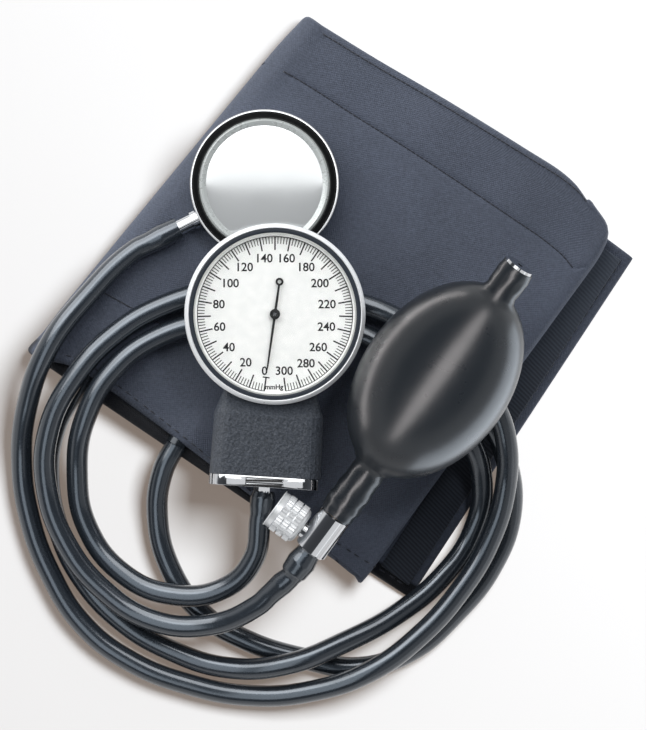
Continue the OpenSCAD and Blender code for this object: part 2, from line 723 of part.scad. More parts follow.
// Outline of a movement plate, with two arbor holes and four screw holes
module movement_plate(z) {
    color("#c9a550") on_gauge() translate([0, 0, z]) difference() {
        translate([-mplate_left, -mplate_back, 0])
            cube([mplate_left + mplate_right, mplate_back + mplate_front, mplate_t]);
        translate([0, 0, -1]) cylinder(d = pinion_arbor_d + 2 * play, h = 3);
        translate([arbor_x, arbor_y, -1]) cylinder(d = arbor_d + 2 * play, h = 3);
        for (p = post_at) translate([p.x, p.y, -1]) cylinder(d = 2.1, h = 3);
        for (x = [-mplate_left, mplate_right])
            translate([x, -mplate_waist_back, -1]) cylinder(d = mplate_waist_d, h = 3);
    }
}

module lower_plate() {
    movement_plate(low_plate_z);
}

module upper_plate() {
    movement_plate(top_plate_z);
}

module movement_pillars() {
    z = low_plate_z + mplate_t;
    color("#b9944a") on_gauge() for (p = post_at) translate([p.x, p.y, z]) difference() {
        cylinder(d = 3.6, h = top_plate_z - z);
        translate([0, 0, -1]) cylinder(d = 2.1, h = 8);
    }
}

module movement_screws() {
    z = top_plate_z + mplate_t;
    color("#8d9096") on_gauge() for (p = post_at) translate([p.x, p.y, 0]) difference() {
        union() {
            translate([0, 0, floor_z + 0.8]) cylinder(d = 2, h = z - floor_z - 0.8);
            translate([0, 0, z]) cylinder(d = 3.4, h = 0.9);
        }
        translate([-2, -0.25, z + 0.5]) cube([4, 0.5, 1]);
    }
}

// Half the angle of an involute tooth at radius r, for pitch radius p and z teeth
function inv(a) = tan(a) * 180 / PI - a;
function half_tooth(r, p, z) =
    90 / z - backlash / 4 / p * 180 / PI + inv(pressure) - inv(acos(min(1, p * cos(pressure) / r)));
function tooth(p, z, root, tip, a, n) = let (base = max(root, p * cos(pressure)))
    concat([for (i = [0:n]) let (r = i == 0 ? root : base + (tip - base) * (i - 1) / (n - 1))
                let (h = a - half_tooth(max(r, base), p, z)) r * [cos(h), sin(h)]],
           [for (i = [n:-1:0]) let (r = i == 0 ? root : base + (tip - base) * (i - 1) / (n - 1))
                let (h = a + half_tooth(max(r, base), p, z)) r * [cos(h), sin(h)]]);

module sector_gear() {
    pitch = 360 / sector_z;
    root = sector_r - 0.36;
    half = (sector_teeth - 1) / 2;
    wide = (half + 0.5) * pitch;
    color("#c7a24c") on_gauge() translate([arbor_x, arbor_y, sector_zpos])
        rotate([0, 0, mesh_a - swing / 2]) difference() {
            linear_extrude(mplate_t) union() {
                polygon(concat([[0, -1.6]], [root * [cos(-wide), sin(-wide)]],
                    [for (k = [-half:half]) each tooth(sector_r, sector_z, root, sector_r + 0.8 * gear_m,
                        k * pitch, 4)],
                    [root * [cos(wide), sin(wide)]], [[0, 1.6]]));
                circle(r = 2);
            }
            translate([0, 0, -1]) cylinder(d = arbor_d, h = 3);
            for (x = [4, 7.4]) translate([x, 0, -1]) cylinder(r = x / 4.4, h = 3);
        }
}

module sector_arbor() {
    color("#b8bcc2") on_gauge() translate([arbor_x, arbor_y, 0]) {
        translate([0, 0, rod_z - 0.4]) cylinder(d = arbor_d, h = top_plate_z + mplate_t - rod_z + 0.4);
        rotate([0, 0, -swing / 2]) {
            translate([0, -0.7, lever_z]) cube([lever_r, 1.4, 0.7]);
            translate([0, 0, lever_z]) cylinder(d = 2.4, h = 0.7);
            translate([lever_r, 0, lever_z]) cylinder(d = 1.4, h = 0.7);
            translate([lever_r, 0, rod_z - rod_d / 2])
                cylinder(d = pin_d, h = lever_z - rod_z + rod_d / 2 + 0.7);
        }
    }
}

module pointer_pinion() {
    top = dial_z + dial_t + 1.9;
    root = pinion_r - 0.3;
    color("#c2c5ca") on_gauge() {
        translate([0, 0, low_plate_z + 0.1]) cylinder(d = pinion_arbor_d, h = top - low_plate_z - 0.1);
        translate([0, 0, tooth_z]) rotate([0, 0, mesh_a + 180 + 180 / pinion_z + ratio * swing / 2])
            linear_extrude(1.8) polygon([for (k = [0:pinion_z - 1])
                each tooth(pinion_r, pinion_z, root, pinion_r + 0.9 * gear_m, k * 360 / pinion_z, 4)]);
    }
}

// Pointer at 0, with its open ring on the tail
module pointer() {
    z = dial_z + dial_t + 0.8;
    t = 0.3;
    color("#101114") on_gauge() rotate([0, 0, pointer_a]) difference() {
        union() {
            translate([0, 0, z]) linear_extrude(t) polygon([
                [0, -pointer_w / 2], [pointer_tip - 2, -0.25], [pointer_tip, 0],
                [pointer_tip - 2, 0.25], [0, pointer_w / 2],
                [-pointer_tail + 1, pointer_w / 2 - 0.1], [-pointer_tail + 1, -pointer_w / 2 + 0.1]]);
            translate([-pointer_tail, 0, z]) difference() {
                cylinder(r = 1.25, h = t);
                translate([0, 0, -1]) cylinder(r = 0.6, h = 2);
            }
            translate([0, 0, z - 0.3]) cylinder(r = 1.65, h = 1.3);
        }
        translate([0, 0, z - 1]) cylinder(d = pinion_arbor_d, h = 3);
    }
}

// Flat spiral from the arbor to the stud
module hairspring() {
    turns = 4;
    n = 22 * turns;
    r0 = pinion_arbor_d / 2 + 0.05;
    r1 = 3.6;
    t = 0.12;
    function spiral(i, off) =
        let (a = 71 + 360 * turns * (i / n - 1), r = r0 + (r1 - r0) * i / n + off) r * [cos(a), sin(a)];
    color("#6b7fb0") on_gauge() translate([0, 0, spring_z]) linear_extrude(0.5)
        polygon(concat([for (i = [0:n]) spiral(i, 0)], [for (i = [n:-1:0]) spiral(i, t)]));
}

module hairspring_stud() {
    color("#b9944a") on_gauge() rotate([0, 0, 71]) translate([3.6 + 0.12 + 0.35, 0, spring_z - 0.2])
        cylinder(r = 0.35, h = top_plate_z - spring_z + 0.2);
}

module push_rod() {
    color("#c4c7cc") on_gauge() at_port(rod_tip_y) cylinder(d = rod_d, h = rod_tip_y - bellows_y1 - 1);
}

module bellows_head() {
    color("#c9a550") on_gauge() at_port(bellows_y1 + 1) cylinder(d = bellows_d - 3.6, h = 1);
}

// Corrugated tube, with a plain collar at each end
module bellows() {
    ro = bellows_d / 2;
    ri = ro - 2.2;
    t = 0.3;
    l = bellows_y1 - bellows_y0;
    step = l / (2 * bellows_n);
    color("#b98a3e") on_gauge() at_port(bellows_y1) rotate_extrude()
        polygon(concat([for (i = [0:2 * bellows_n]) [i % 2 == 0 ? ri : ro, i * step]],
            [for (i = [2 * bellows_n:-1:0]) [(i % 2 == 0 ? ri : ro) - t, i * step]]));
}

module bellows_base() {
    color("#b9944a") on_gauge() difference() {
        at_port(bellows_y0) cylinder(d = bellows_d, h = 1);
        at_port(bellows_y0 + 1, port_z) cylinder(d = shank_d, h = 3);
    }
}

// The bulb's frame: +z from the air valve to the bulb's tip, +y along the knob
module on_bulb() {
    translate([valve_pos.x, valve_pos.y, valve_z]) rotate([0, 0, bulb_turn])
        rotate([0, 90 - bulb_tilt, 0]) children();
}

// Radius of the bulb at s: an ellipse that runs smoothly into its two necks
function ellipse(s, a, b) = b * sqrt(max(0, 1 - (s - bulb_s) * (s - bulb_s) / a / a));
function blended(e, neck) = pow(pow(e, 5) + pow(neck, 5), 0.2);
function neck_r(s) = s < bulb_s ? valve_neck_d / 2
    : tip_neck_d / 2 + 0.35 * sin(180 * max(0, s - bulb_s - bulb_a) / (tip_s - bulb_s - bulb_a));

module bulb() {
    s0 = neck_end_s;
    n = 40;
    in_a = bulb_a - bulb_wall;
    in_b = bulb_b - bulb_wall;
    plug_r = plug_d / 2;
    outer = [for (i = [0:n]) let (s = s0 + (tip_s - s0) * (1 - cos(180 * i / n)) / 2)
        [blended(ellipse(s, bulb_a, bulb_b), neck_r(s)), s]];
    inner = [for (i = [0:16]) let (s = bulb_s - in_a * cos(180 * i / 16) * 0.985)
        [max(ellipse(s, in_a, in_b), plug_r), s]];
    color("#1b1d20") on_bulb() rotate_extrude()
        polygon(concat([[plug_r, s0]], outer, [[plug_r, tip_s]], [for (i = [16:-1:0]) inner[i]]));
}

module inlet_valve() {
    r = plug_d / 2;
    color("#d6d9dc") on_bulb() difference() {
        union() {
            translate([0, 0, tip_s - 13]) cylinder(r = r, h = 13 + eps);
            translate([0, 0, tip_s]) cylinder(r1 = r + 0.9, r2 = r + 0.7, h = 0.9);
        }
        translate([0, 0, tip_s - 14]) cylinder(r = 1.1, h = inlet_seat_s - tip_s + 10);
        translate([0, 0, inlet_seat_s - 5.5]) cylinder(r = ball_d / 2 + 0.4, h = 5.5);
        translate([0, 0, inlet_seat_s - eps]) cylinder(r = seat_bore_r, h = 5);
    }
}

module inlet_ball() {
    color("#b9bcc1") on_bulb() translate([0, 0, inlet_seat_s - ball_back]) sphere(d = ball_d);
}

// Frame along the knob, from the valve's axis outwards
module at_knob(y) {
    translate([0, y, knob_s]) rotate([-90, 0, 0]) children();
}

module valve_body() {
    r = valve_d / 2;
    color("#d3d6da") on_bulb() difference() {
        union() {
            rotate_extrude() polygon([[0, -valve_l / 2], [r - 0.5, -valve_l / 2], [r, -valve_l / 2 + 0.5],
                [r, valve_l / 2 - 0.5], [r - 0.5, valve_l / 2], [0, valve_l / 2]]);
            at_knob(0) cylinder(r = 3.2, h = knob_y - 0.3);
        }
        translate([0, 0, -valve_l]) cylinder(r = nipple_bore / 2, h = 2 * valve_l);
        translate([0, 0, valve_l / 2 - 4]) cylinder(r = 3, h = 5);
        translate([0, 0, -valve_l / 2 - 1]) cylinder(r = 2.2, h = 4);
        at_knob(0) cylinder(r = 0.7, h = 4);
        at_knob(2.4) cylinder(d = needle_d + 2 * play, h = 8);
    }
}

// Barbed plug that holds the bulb and the outlet ball
module valve_spigot() {
    r = plug_d / 2;
    z0 = valve_l / 2 - 4;
    color("#c6b98a") on_bulb() difference() {
        union() {
            translate([0, 0, z0]) cylinder(r = 3, h = 5);
            rotate_extrude() polygon([[0, neck_end_s], [r, neck_end_s], [r, 11], [r + 0.35, 11.2],
                [r - 0.1, 14.5], [r + 0.35, 14.7], [r - 0.3, 18.6], [0, 18.6]]);
            translate([0, 0, valve_l / 2]) cylinder(r = r + 0.9, h = neck_end_s - valve_l / 2);
        }
        translate([0, 0, z0 - 1]) cylinder(r = 1.2, h = 8);
        translate([0, 0, seat_s - 5]) cylinder(r = ball_d / 2 + 0.4, h = 5);
        translate([0, 0, seat_s - eps]) cylinder(r = seat_bore_r, h = 8);
    }
}

module outlet_ball() {
    color("#b9bcc1") on_bulb() translate([0, 0, seat_s - ball_back]) sphere(d = ball_d);
}

module valve_nipple() {
    color("#cfd2d6") on_bulb() rotate([180, 0, 0]) difference() {
        union() {
            translate([0, 0, valve_l / 2 - 3]) cylinder(r = 2.2, h = 3 + eps);
            translate([0, 0, valve_l / 2]) nipple(nipple_l);
        }
        translate([0, 0, valve_l / 2 - 4]) cylinder(d = nipple_bore, h = nipple_l + 5);
    }
}

module valve_needle() {
    color("#b9bcc1") on_bulb() at_knob(0) rotate_extrude()
        polygon([[0, 1.8], [0.6, 1.8], [0.6, 2.5], [1.2, 3.1], [needle_d / 2, 3.1],
            [needle_d / 2, knob_y + 0.4], [1.5, knob_y + 0.4], [1.5, knob_y + knob_l - 1.1],
            [0, knob_y + knob_l - 1.1]]);
}

// Knob with a rounded near end, three knurled bands and a plain far end with a thin rim
module valve_knob() {
    r = knob_d / 2;
    band = 2;
    groove = 0.5;
    near = 1.6;
    far = near + 3 * band + 2 * groove;
    knurl_h = 0.3;
    color("#dcdfe2") on_bulb() at_knob(knob_y) difference() {
        union() {
            rotate_extrude() polygon(concat([[0, 0], [r - near - 0.3, 0]],
                arc([r - near - 0.3, near], near - 0.2, -90, 0, 5),
                [[r - 0.7, far], [r - 0.3, far + 0.2], [r - 0.3, knob_l - 0.5],
                 [r, knob_l - 0.4], [r, knob_l - 0.2], [r - 0.2, knob_l], [0, knob_l]]));
            for (k = [0:2]) translate([0, 0, near + k * (band + groove)]) linear_extrude(band)
                polygon([for (i = [0:2 * knurls - 1])
                    (r - knurl_h * (i % 2)) * [cos(180 * i / knurls), sin(180 * i / knurls)]]);
        }
        translate([0, 0, -1]) cylinder(r = 1.5 + play, h = knob_l);
        translate([0, 0, -1]) cylinder(d = needle_d + 2 * play, h = 1.5);
    }
}

module bulb_hose() {
    color("#22252a") hose(bulb_route);
}

module gauge_hose() {
    color("#22252a") hose(gauge_route);
}

module stethoscope_tube() {
    color("#22252a") hose(tube_route);
}

// Straight connector at the free end of the stethoscope tube, for the headset's tube
module tube_connector() {
    n = len(tube_route);
    end = tube_route[n - 1];
    dir = end - tube_route[n - 2];
    turn = atan2(dir.y, dir.x);
    drop = atan2(-dir.z, norm([dir.x, dir.y]));
    color("#cfd2d6") translate(end) rotate([0, 0, turn]) rotate([0, 90 + drop, 0]) difference() {
        union() {
            rotate([180, 0, 0]) nipple(nipple_l);
            cylinder(d = hose_d - 0.4, h = 1.2);
            translate([0, 0, 1.2]) nipple(nipple_l - 1);
        }
        translate([0, 0, -nipple_l - 1]) cylinder(d = nipple_bore, h = 2 * nipple_l + 4);
    }
}

cuff();
bladder();
hook_strip();
loop_panel();
chestpiece_body();
non_chill_ring();
diaphragm_ring();
diaphragm();
chestpiece_stem();
gauge_case();
end_plate();
gauge_nipple();
bezel();
bezel_gasket();
crystal();
dial_ring();
dial();
lower_plate();
upper_plate();
movement_pillars();
movement_screws();
pointer();
pointer_pinion();
hairspring();
hairspring_stud();
sector_gear();
sector_arbor();
push_rod();
bellows_head();
bellows();
bellows_base();
bulb();
inlet_valve();
inlet_ball();
valve_body();
valve_spigot();
outlet_ball();
valve_nipple();
valve_needle();
valve_knob();
bulb_hose();
gauge_hose();
stethoscope_tube();
tube_connector();
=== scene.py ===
# An aneroid blood pressure set on a pale table: folded cuff, gauge, rubber bulb with its air valve,
# stethoscope chestpiece and three looped rubber hoses. Everything is in metres, in the frame of the
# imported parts; sizes written in millimetres are turned by MM.
import bpy, math
from mathutils import Matrix, Vector, noise
from mathutils.bvhtree import BVHTree


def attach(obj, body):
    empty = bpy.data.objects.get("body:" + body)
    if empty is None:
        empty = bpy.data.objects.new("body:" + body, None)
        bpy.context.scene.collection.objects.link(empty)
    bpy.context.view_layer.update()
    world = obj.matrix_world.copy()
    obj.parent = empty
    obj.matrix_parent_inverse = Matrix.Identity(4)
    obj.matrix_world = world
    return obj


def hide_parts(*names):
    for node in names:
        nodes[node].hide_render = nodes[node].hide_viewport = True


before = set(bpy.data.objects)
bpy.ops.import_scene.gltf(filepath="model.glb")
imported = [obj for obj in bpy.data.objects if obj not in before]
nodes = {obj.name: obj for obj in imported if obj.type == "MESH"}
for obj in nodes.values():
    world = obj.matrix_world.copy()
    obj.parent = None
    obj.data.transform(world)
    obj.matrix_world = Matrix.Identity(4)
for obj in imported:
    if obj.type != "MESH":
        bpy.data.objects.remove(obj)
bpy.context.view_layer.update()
scene = bpy.context.scene
scene.view_settings.view_transform = "Standard"
bpy.ops.object.select_all(action="DESELECT")
MM = 0.001
ROOT = "sphygmomanometer"

# Camera: straight above the table, far enough away that the tall bulb hardly looks larger than the
# flat cuff. Its picture is 730 pixels high, and a pixel is 0.32 mm at the cuff.
CAMERA_HEIGHT, CAMERA_OVER, SENSOR = 2.5, (-2.88, -18.56, 20), 36
PIXEL, PICTURE_HEIGHT = 0.32, 730
camera = bpy.data.objects.new("camera", bpy.data.cameras.new("camera"))
scene.collection.objects.link(camera)
scene.camera = camera
camera.location = Vector(CAMERA_OVER) * MM + Vector((0, 0, CAMERA_HEIGHT))
camera.data.sensor_width = SENSOR
camera.data.lens = SENSOR * CAMERA_HEIGHT / (PICTURE_HEIGHT * PIXEL * MM)

# Hoses: extruded black latex-free rubber, 7 mm across, pushed over barbs that swell their ends. Two
# run from the cuff's bladder to the air valve and the gauge, the third is the stethoscope's.
HOSE = 7
FIRST_BARB_NEAR = 0.2


def hue(code):
    """The linear colour of an sRGB hex code."""
    parts = [int(code[i:i + 2], 16) / 255 for i in (1, 3, 5)]
    return (*[c / 12.92 if c <= 0.04045 else ((c + 0.055) / 1.055) ** 2.4 for c in parts], 1)


def add(tree, kind, inputs=(), **settings):
    """A node with its settings, its values and its links."""
    node = tree.nodes.new(kind)
    for k, (spot, code) in enumerate(settings.pop("stops", ())):
        ramp = node.color_ramp.elements
        stop = ramp[k] if k < 2 else ramp.new(spot)
        stop.position, stop.color = spot, hue(code)
    for name, value in settings.items():
        setattr(node, name, value)
    for name, value in dict(inputs).items():
        if isinstance(value, bpy.types.NodeSocket):
            tree.links.new(value, node.inputs[name])
        else:
            node.inputs[name].default_value = value
    return node


def surface(name, color, **sockets):
    """A new material, its node tree and its shader, with the values that are the same all over."""
    made = bpy.data.materials.new(name)
    made.use_nodes = True
    shader = made.node_tree.nodes["Principled BSDF"]
    shader.inputs["Base Color"].default_value = hue(color)
    for socket, value in sockets.items():
        shader.inputs[socket.replace("_", " ")].default_value = value
    return made, made.node_tree, shader


def mottled(tree, shader, size, low, high, detail=2.0):
    """Lets the roughness wander from low to high in patches of that many millimetres."""
    where = add(tree, "ShaderNodeTexCoord").outputs["Object"]
    patches = add(tree, "ShaderNodeTexNoise", {"Vector": where, "Scale": 1 / (size * MM),
                                               "Detail": detail}).outputs["Fac"]
    worn = add(tree, "ShaderNodeMapRange", {"Value": patches, "To Min": low, "To Max": high})
    tree.links.new(worn.outputs["Result"], shader.inputs["Roughness"])
    return patches


def place(piece, material, slot, *stands_for, body=ROOT):
    """Gives a finished piece its material, hides the parts it stands for and puts it on its body; slot is
    not used.
    """
    piece.data.materials.clear()
    piece.data.materials.append(material)
    if stands_for:
        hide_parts(*stands_for)
    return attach(piece, body)


# Extruded rubber: black, polished by handling, with a cold sheen and a faint mottle of bloom.
rubber, tree, shader = surface("extruded_rubber", "#1c2025", Roughness=0.24, IOR=1.6, Coat_Weight=0.8,
                               Coat_IOR=1.6, Coat_Roughness=0.16)
shader.inputs["Specular Tint"].default_value = hue("#d5e4f5")
bloom = mottled(tree, shader, 3.85, 0.19, 0.33, detail=4.0)
bump = add(tree, "ShaderNodeBump", {"Height": bloom, "Strength": 0.25, "Distance": 0.0002})
tree.links.new(bump.outputs["Normal"], shader.inputs["Normal"])


def hose(name, route, swell, node):
    """A hose along its route in millimetres; swell lists (knot, share of the way on, width).

    A barb near the hose's end swells that end as well.
    """
    knots = [(Vector(point), 1.0) for point in route]
    for at, share, width in sorted(swell, reverse=True):
        a, b = Vector(route[at]), Vector(route[at + 1])
        knots.insert(at + 1, (a.lerp(b, share), width))
    line = bpy.data.curves.new(name, "CURVE")
    line.dimensions = "3D"
    line.bevel_depth = HOSE / 2 * MM
    line.bevel_resolution = 7
    line.resolution_u = 10
    line.use_fill_caps = True
    spline = line.splines.new("BEZIER")
    spline.bezier_points.add(len(knots) - 1)
    for knot, (point, width) in zip(spline.bezier_points, knots):
        knot.co = point * MM
        knot.radius = width
        knot.handle_left_type = knot.handle_right_type = "AUTO"
    if swell[0][1] < FIRST_BARB_NEAR:
        spline.bezier_points[0].radius = swell[0][2] * 0.96
    spline.use_smooth = True
    piece = bpy.data.objects.new(name, line)
    scene.collection.objects.link(piece)
    return place(piece, rubber, "hose_rubber", node)


TUBE_ROUTE = [
    (-49.2, 25.4, 17.4), (-63, 18.4, 17.5), (-78.5, 3.5, 17.6), (-91, -13, 18.4), (-98, -31.5, 12.2),
    (-100, -50, 5.2), (-97.5, -68, 3.7), (-91, -85.5, 3.6), (-80.5, -102, 3.6), (-65, -114, 3.6),
    (-46, -121.5, 3.7), (-26.5, -125, 4.4), (-7, -123.5, 7.5), (12, -117, 11.3), (28, -105.5, 11.3),
    (41, -91, 11.2), (50.5, -75, 11.6), (55.5, -57.5, 15.3), (55.3, -41.5, 21.5), (50.5, -27, 24),
    (47.5, -13, 20.5)]
BULB_ROUTE = [
    (-7.2, -77.7, 30.4), (-13.2, -85.8, 28.1), (-24, -95.5, 22), (-40, -102, 14.5),
    (-58, -100.5, 11.2), (-74, -90.5, 10.4), (-85.5, -76, 11.2), (-91.8, -58, 12), (-91, -39.5, 16),
    (-83, -23, 18), (-69.5, -8.5, 17.8), (-53, 1, 17.5), (-34, 5.7, 17.5), (-14, 6, 17.5),
    (5, 2.2, 17.5), (22.5, -4.7, 17.5), (38, -17, 17.5), (47, -31, 18.2), (55.5, -48, 10.6),
    (57.5, -66.5, 4.2), (51, -84, 3.6), (39.5, -98.5, 3.6), (25.5, -110.5, 3.6), (8.5, -116, 3.6),
    (-9.5, -113, 3.6), (-27, -107.5, 3.6), (-42, -98.5, 3.6), (-52.5, -83.5, 3.8),
    (-56.4, -66.5, 5.2), (-54.5, -52.6, 8.6), (-50.3, -44.2, 9.2)]
GAUGE_ROUTE = [
    (-21.9, -58.9, 22.9), (-23.2, -68.5, 21.6), (-25.2, -80.5, 18.4), (-34.5, -90, 14.4),
    (-51.5, -92.3, 11.2), (-67.5, -85.5, 8.6), (-79, -70.5, 7), (-82, -53.5, 10), (-79, -35, 16.8),
    (-69.5, -19.5, 18), (-54.5, -9, 17.5), (-37, -4.5, 17.5), (-18, -4, 17.5), (0.5, -6, 17.5),
    (17.5, -13, 17.5), (31, -24.5, 17.5), (42, -39, 18.2), (48, -55, 10.5), (45.5, -71.5, 4.4),
    (35.5, -86.5, 5.6), (21, -98.5, 7.3), (4, -107.5, 10.8), (-14, -114.5, 10.8), (-33.5, -116, 5.8),
    (-52, -110.5, 3.6), (-68, -101, 3.6), (-80.5, -87.5, 3.6), (-88, -72, 3.7), (-91.3, -55, 4.6),
    (-89.2, -39, 8.2), (-83.5, -27.6, 9.2), (-80.6, -22.2, 9.2)]
# Where the barbs of the chestpiece's stem, the air valve and the gauge lie under the rubber
STEM_BARB = [(0, 0.1, 1.04), (0, 0.4, 1.1), (0, 0.7, 1.0)]
VALVE_BARBS = [(0, 0.14, 1.18), (0, 0.45, 1.36), (0, 0.85, 1.24), (1, 0.25, 1.1), (1, 0.6, 1.0)]
GAUGE_BARB = [(0, 0.2, 1.16), (0, 0.5, 1.14), (0, 0.8, 1.0)]
chest_line = hose("chest_line", TUBE_ROUTE, STEM_BARB, "stethoscope_tube")
bulb_line = hose("bulb_line", BULB_ROUTE, VALVE_BARBS, "bulb_hose")
gauge_line = hose("gauge_line", GAUGE_ROUTE, GAUGE_BARB, "gauge_hose")

# Cuff: a ribbon of coated nylon, hemmed all round, folded four times over itself. The top layer is a
# pocket sewn shut along a seam, and the rubber bladder lies in it. It is one closed strip of cloth.
WIDE = 137
LEFT_FOLD = -65.7
SKEW = math.tan(math.radians(3.4))
CUFF_TURN = math.radians(-36.1)
CUFF_SHIFT = (-3.664, 4.549)
# Radii of the left folds, and the heights and half thicknesses of the four layers, from the table up
BIG_R, SMALL_R = 6.95, 2.95
LAYER_HALF, POCKET_HALF = 1.4, 2.3
INNER_LOW, UNDER_LOW, POCKET_LOW = 3.1, 6.2, 9.3
INNER_FOLD, INNER_REACH = 8.2, 0.895
SEAM, SEAM_SLOPE = 0.849, 0.03
END_LOW, END_HIGH = (81.23, -62.5), (74.77, 68.5)
# The bladder's two necks: where they leave the low hem, how high, and which way they lie
NECKS, NECK_OUT, NECK_Z = (-9, -46.4), -66.9, 9.2
NECK_WAY = (math.sin(math.radians(-7)) * 9, 9)
# The pocket's outline: its top and low hems from left to right, and its right fold from low to top
TOP_EDGE = [(-50.6, 69.7), (-30, 71.3), (-8.7, 73.5), (10, 75.1), (27.8, 76.4), (38, 77.1), (45.5, 76.5),
            (51.3, 74.5)]
RIGHT_EDGE = [(64.7, -68.2), (65.7, -64), (65.7, -30), (65.7, 10), (65.7, 45), (65.7, 57), (65.5, 64.5),
              (64.6, 69), (62.6, 71.7), (59.8, 72.9), (56.7, 73.4), (54, 74), (51.6, 75.1)]
LOW_EDGE = [(-58.7, -69.6), (-52, -66.6), (-44.7, -65.4), (-27, -65.2), (-9, -65.3), (20, -66),
            (49.9, -66.7), (56, -67), (61, -67.3)]
FOLD_OUT, CORNER_OUT = 3.85, 0.75


def on_cuff(u, v, z):
    """A point of the folded cuff's own frame, in millimetres, on the table."""
    c, s = math.cos(CUFF_TURN), math.sin(CUFF_TURN)
    return Vector((u * c - v * s + CUFF_SHIFT[0], u * s + v * c + CUFF_SHIFT[1], z)) * MM


def along(points, share):
    """The point at that share of the way along a smooth line through the points."""
    points = [Vector(p) for p in points]
    steps = [(b - a).length for a, b in zip(points, points[1:])]
    left = share * sum(steps)
    k = 0
    while k < len(steps) - 1 and left > steps[k]:
        left -= steps[k]
        k += 1
    t = left / steps[k]
    a, b = points[k], points[k + 1]
    before = points[k - 1] if k else a * 2 - b
    after = points[k + 2] if k + 2 < len(points) else b * 2 - a
    return 0.5 * (2 * a + (b - before) * t + (2 * before - 5 * a + 4 * b - after) * t * t
                  + (3 * a - before - 3 * b + after) * t ** 3)


def ease(x, low, high):
    """0 below low, 1 above high, smooth between."""
    t = min(max((x - low) / (high - low), 0), 1)
    return t * t * (3 - 2 * t)


def left_fold(w):
    """The outermost line of the left folds, which end in a slightly drawn-out corner."""
    corner = 1.2 * (1 - ease(w, 0, 0.06))
    return Vector((LEFT_FOLD + WIDE * w * SKEW - corner, (WIDE + 2.4) * (w - 0.5) - corner))


def right_line(w):
    """Where the pocket starts to turn down at its right fold, the way out from there, and how far."""
    a, b = along(RIGHT_EDGE, max(w - 0.004, 0)), along(RIGHT_EDGE, min(w + 0.004, 1))
    way = Vector(((b - a).y, -(b - a).x)).normalized()
    reach = FOLD_OUT + (CORNER_OUT - FOLD_OUT) * ease(w, 0.86, 1)
    return along(RIGHT_EDGE, w) - way * reach, way, reach


def drawn(w, t):
    """Where w lies on the pocket, which the sloping seam draws down more and more from left to right."""
    return w - SEAM_SLOPE * t * (w / SEAM if w < SEAM else (1 - w) / (1 - SEAM))


def pocket(t, w):
    """Plan of the pocket: t runs from the left fold to the right one, w from the low hem to the top."""
    w = drawn(w, t)
    left = left_fold(w) + Vector((BIG_R, 0))
    right = right_line(w)[0]
    low, top = along(LOW_EDGE, t), along(TOP_EDGE, t)
    flat = (1 - w) * low + w * top + (1 - t) * left + t * right
    corners = ((1 - t) * (1 - w) * (left_fold(0) + Vector((BIG_R, 0))) + t * (1 - w) * right_line(0)[0]
               + (1 - t) * w * (left_fold(1) + Vector((BIG_R, 0))) + t * w * right_line(1)[0])
    near_seam = ease(w, 0.5, SEAM) if w < SEAM else 1 - ease(w, SEAM, 1)
    seam_dip = 1.5 - 5.6 * t + 1.3 * t * t
    return flat - corners + Vector((0, near_seam * seam_dip))


def hem(w):
    """How much of its thickness the cloth keeps near its hems, which are rounded over 2.2 mm."""
    inside = min(w, 1 - w) * WIDE
    return 0.3 + 0.7 * math.sqrt(1 - (1 - min(inside / 2.2, 1)) ** 2)


HEM_FULL = 0.66


def fullness(point, w):
    """How full the pocket is: thin at its hems, full over the bladder and beside the two necks."""
    inside = min(w, 1 - w) * WIDE
    full = hem(w) * (HEM_FULL + (1 - HEM_FULL) * ease(inside, 1, 15))
    if w < 0.5:
        for neck in NECKS:
            near = math.exp(-((point.x - neck - 3) / 6.5) ** 2) * (1 - ease(inside, 12, 30))
            full = max(full, hem(w) * (HEM_FULL + 0.36 * near))
    return full


def thin_end(k):
    """How much of its thickness the ribbon keeps at the k-th point from one of its ends."""
    return min(1, 0.35 + 0.5 * k)


BOTTOM_POINTS, FOLD_POINTS, POCKET_POINTS = 31, 12, 40


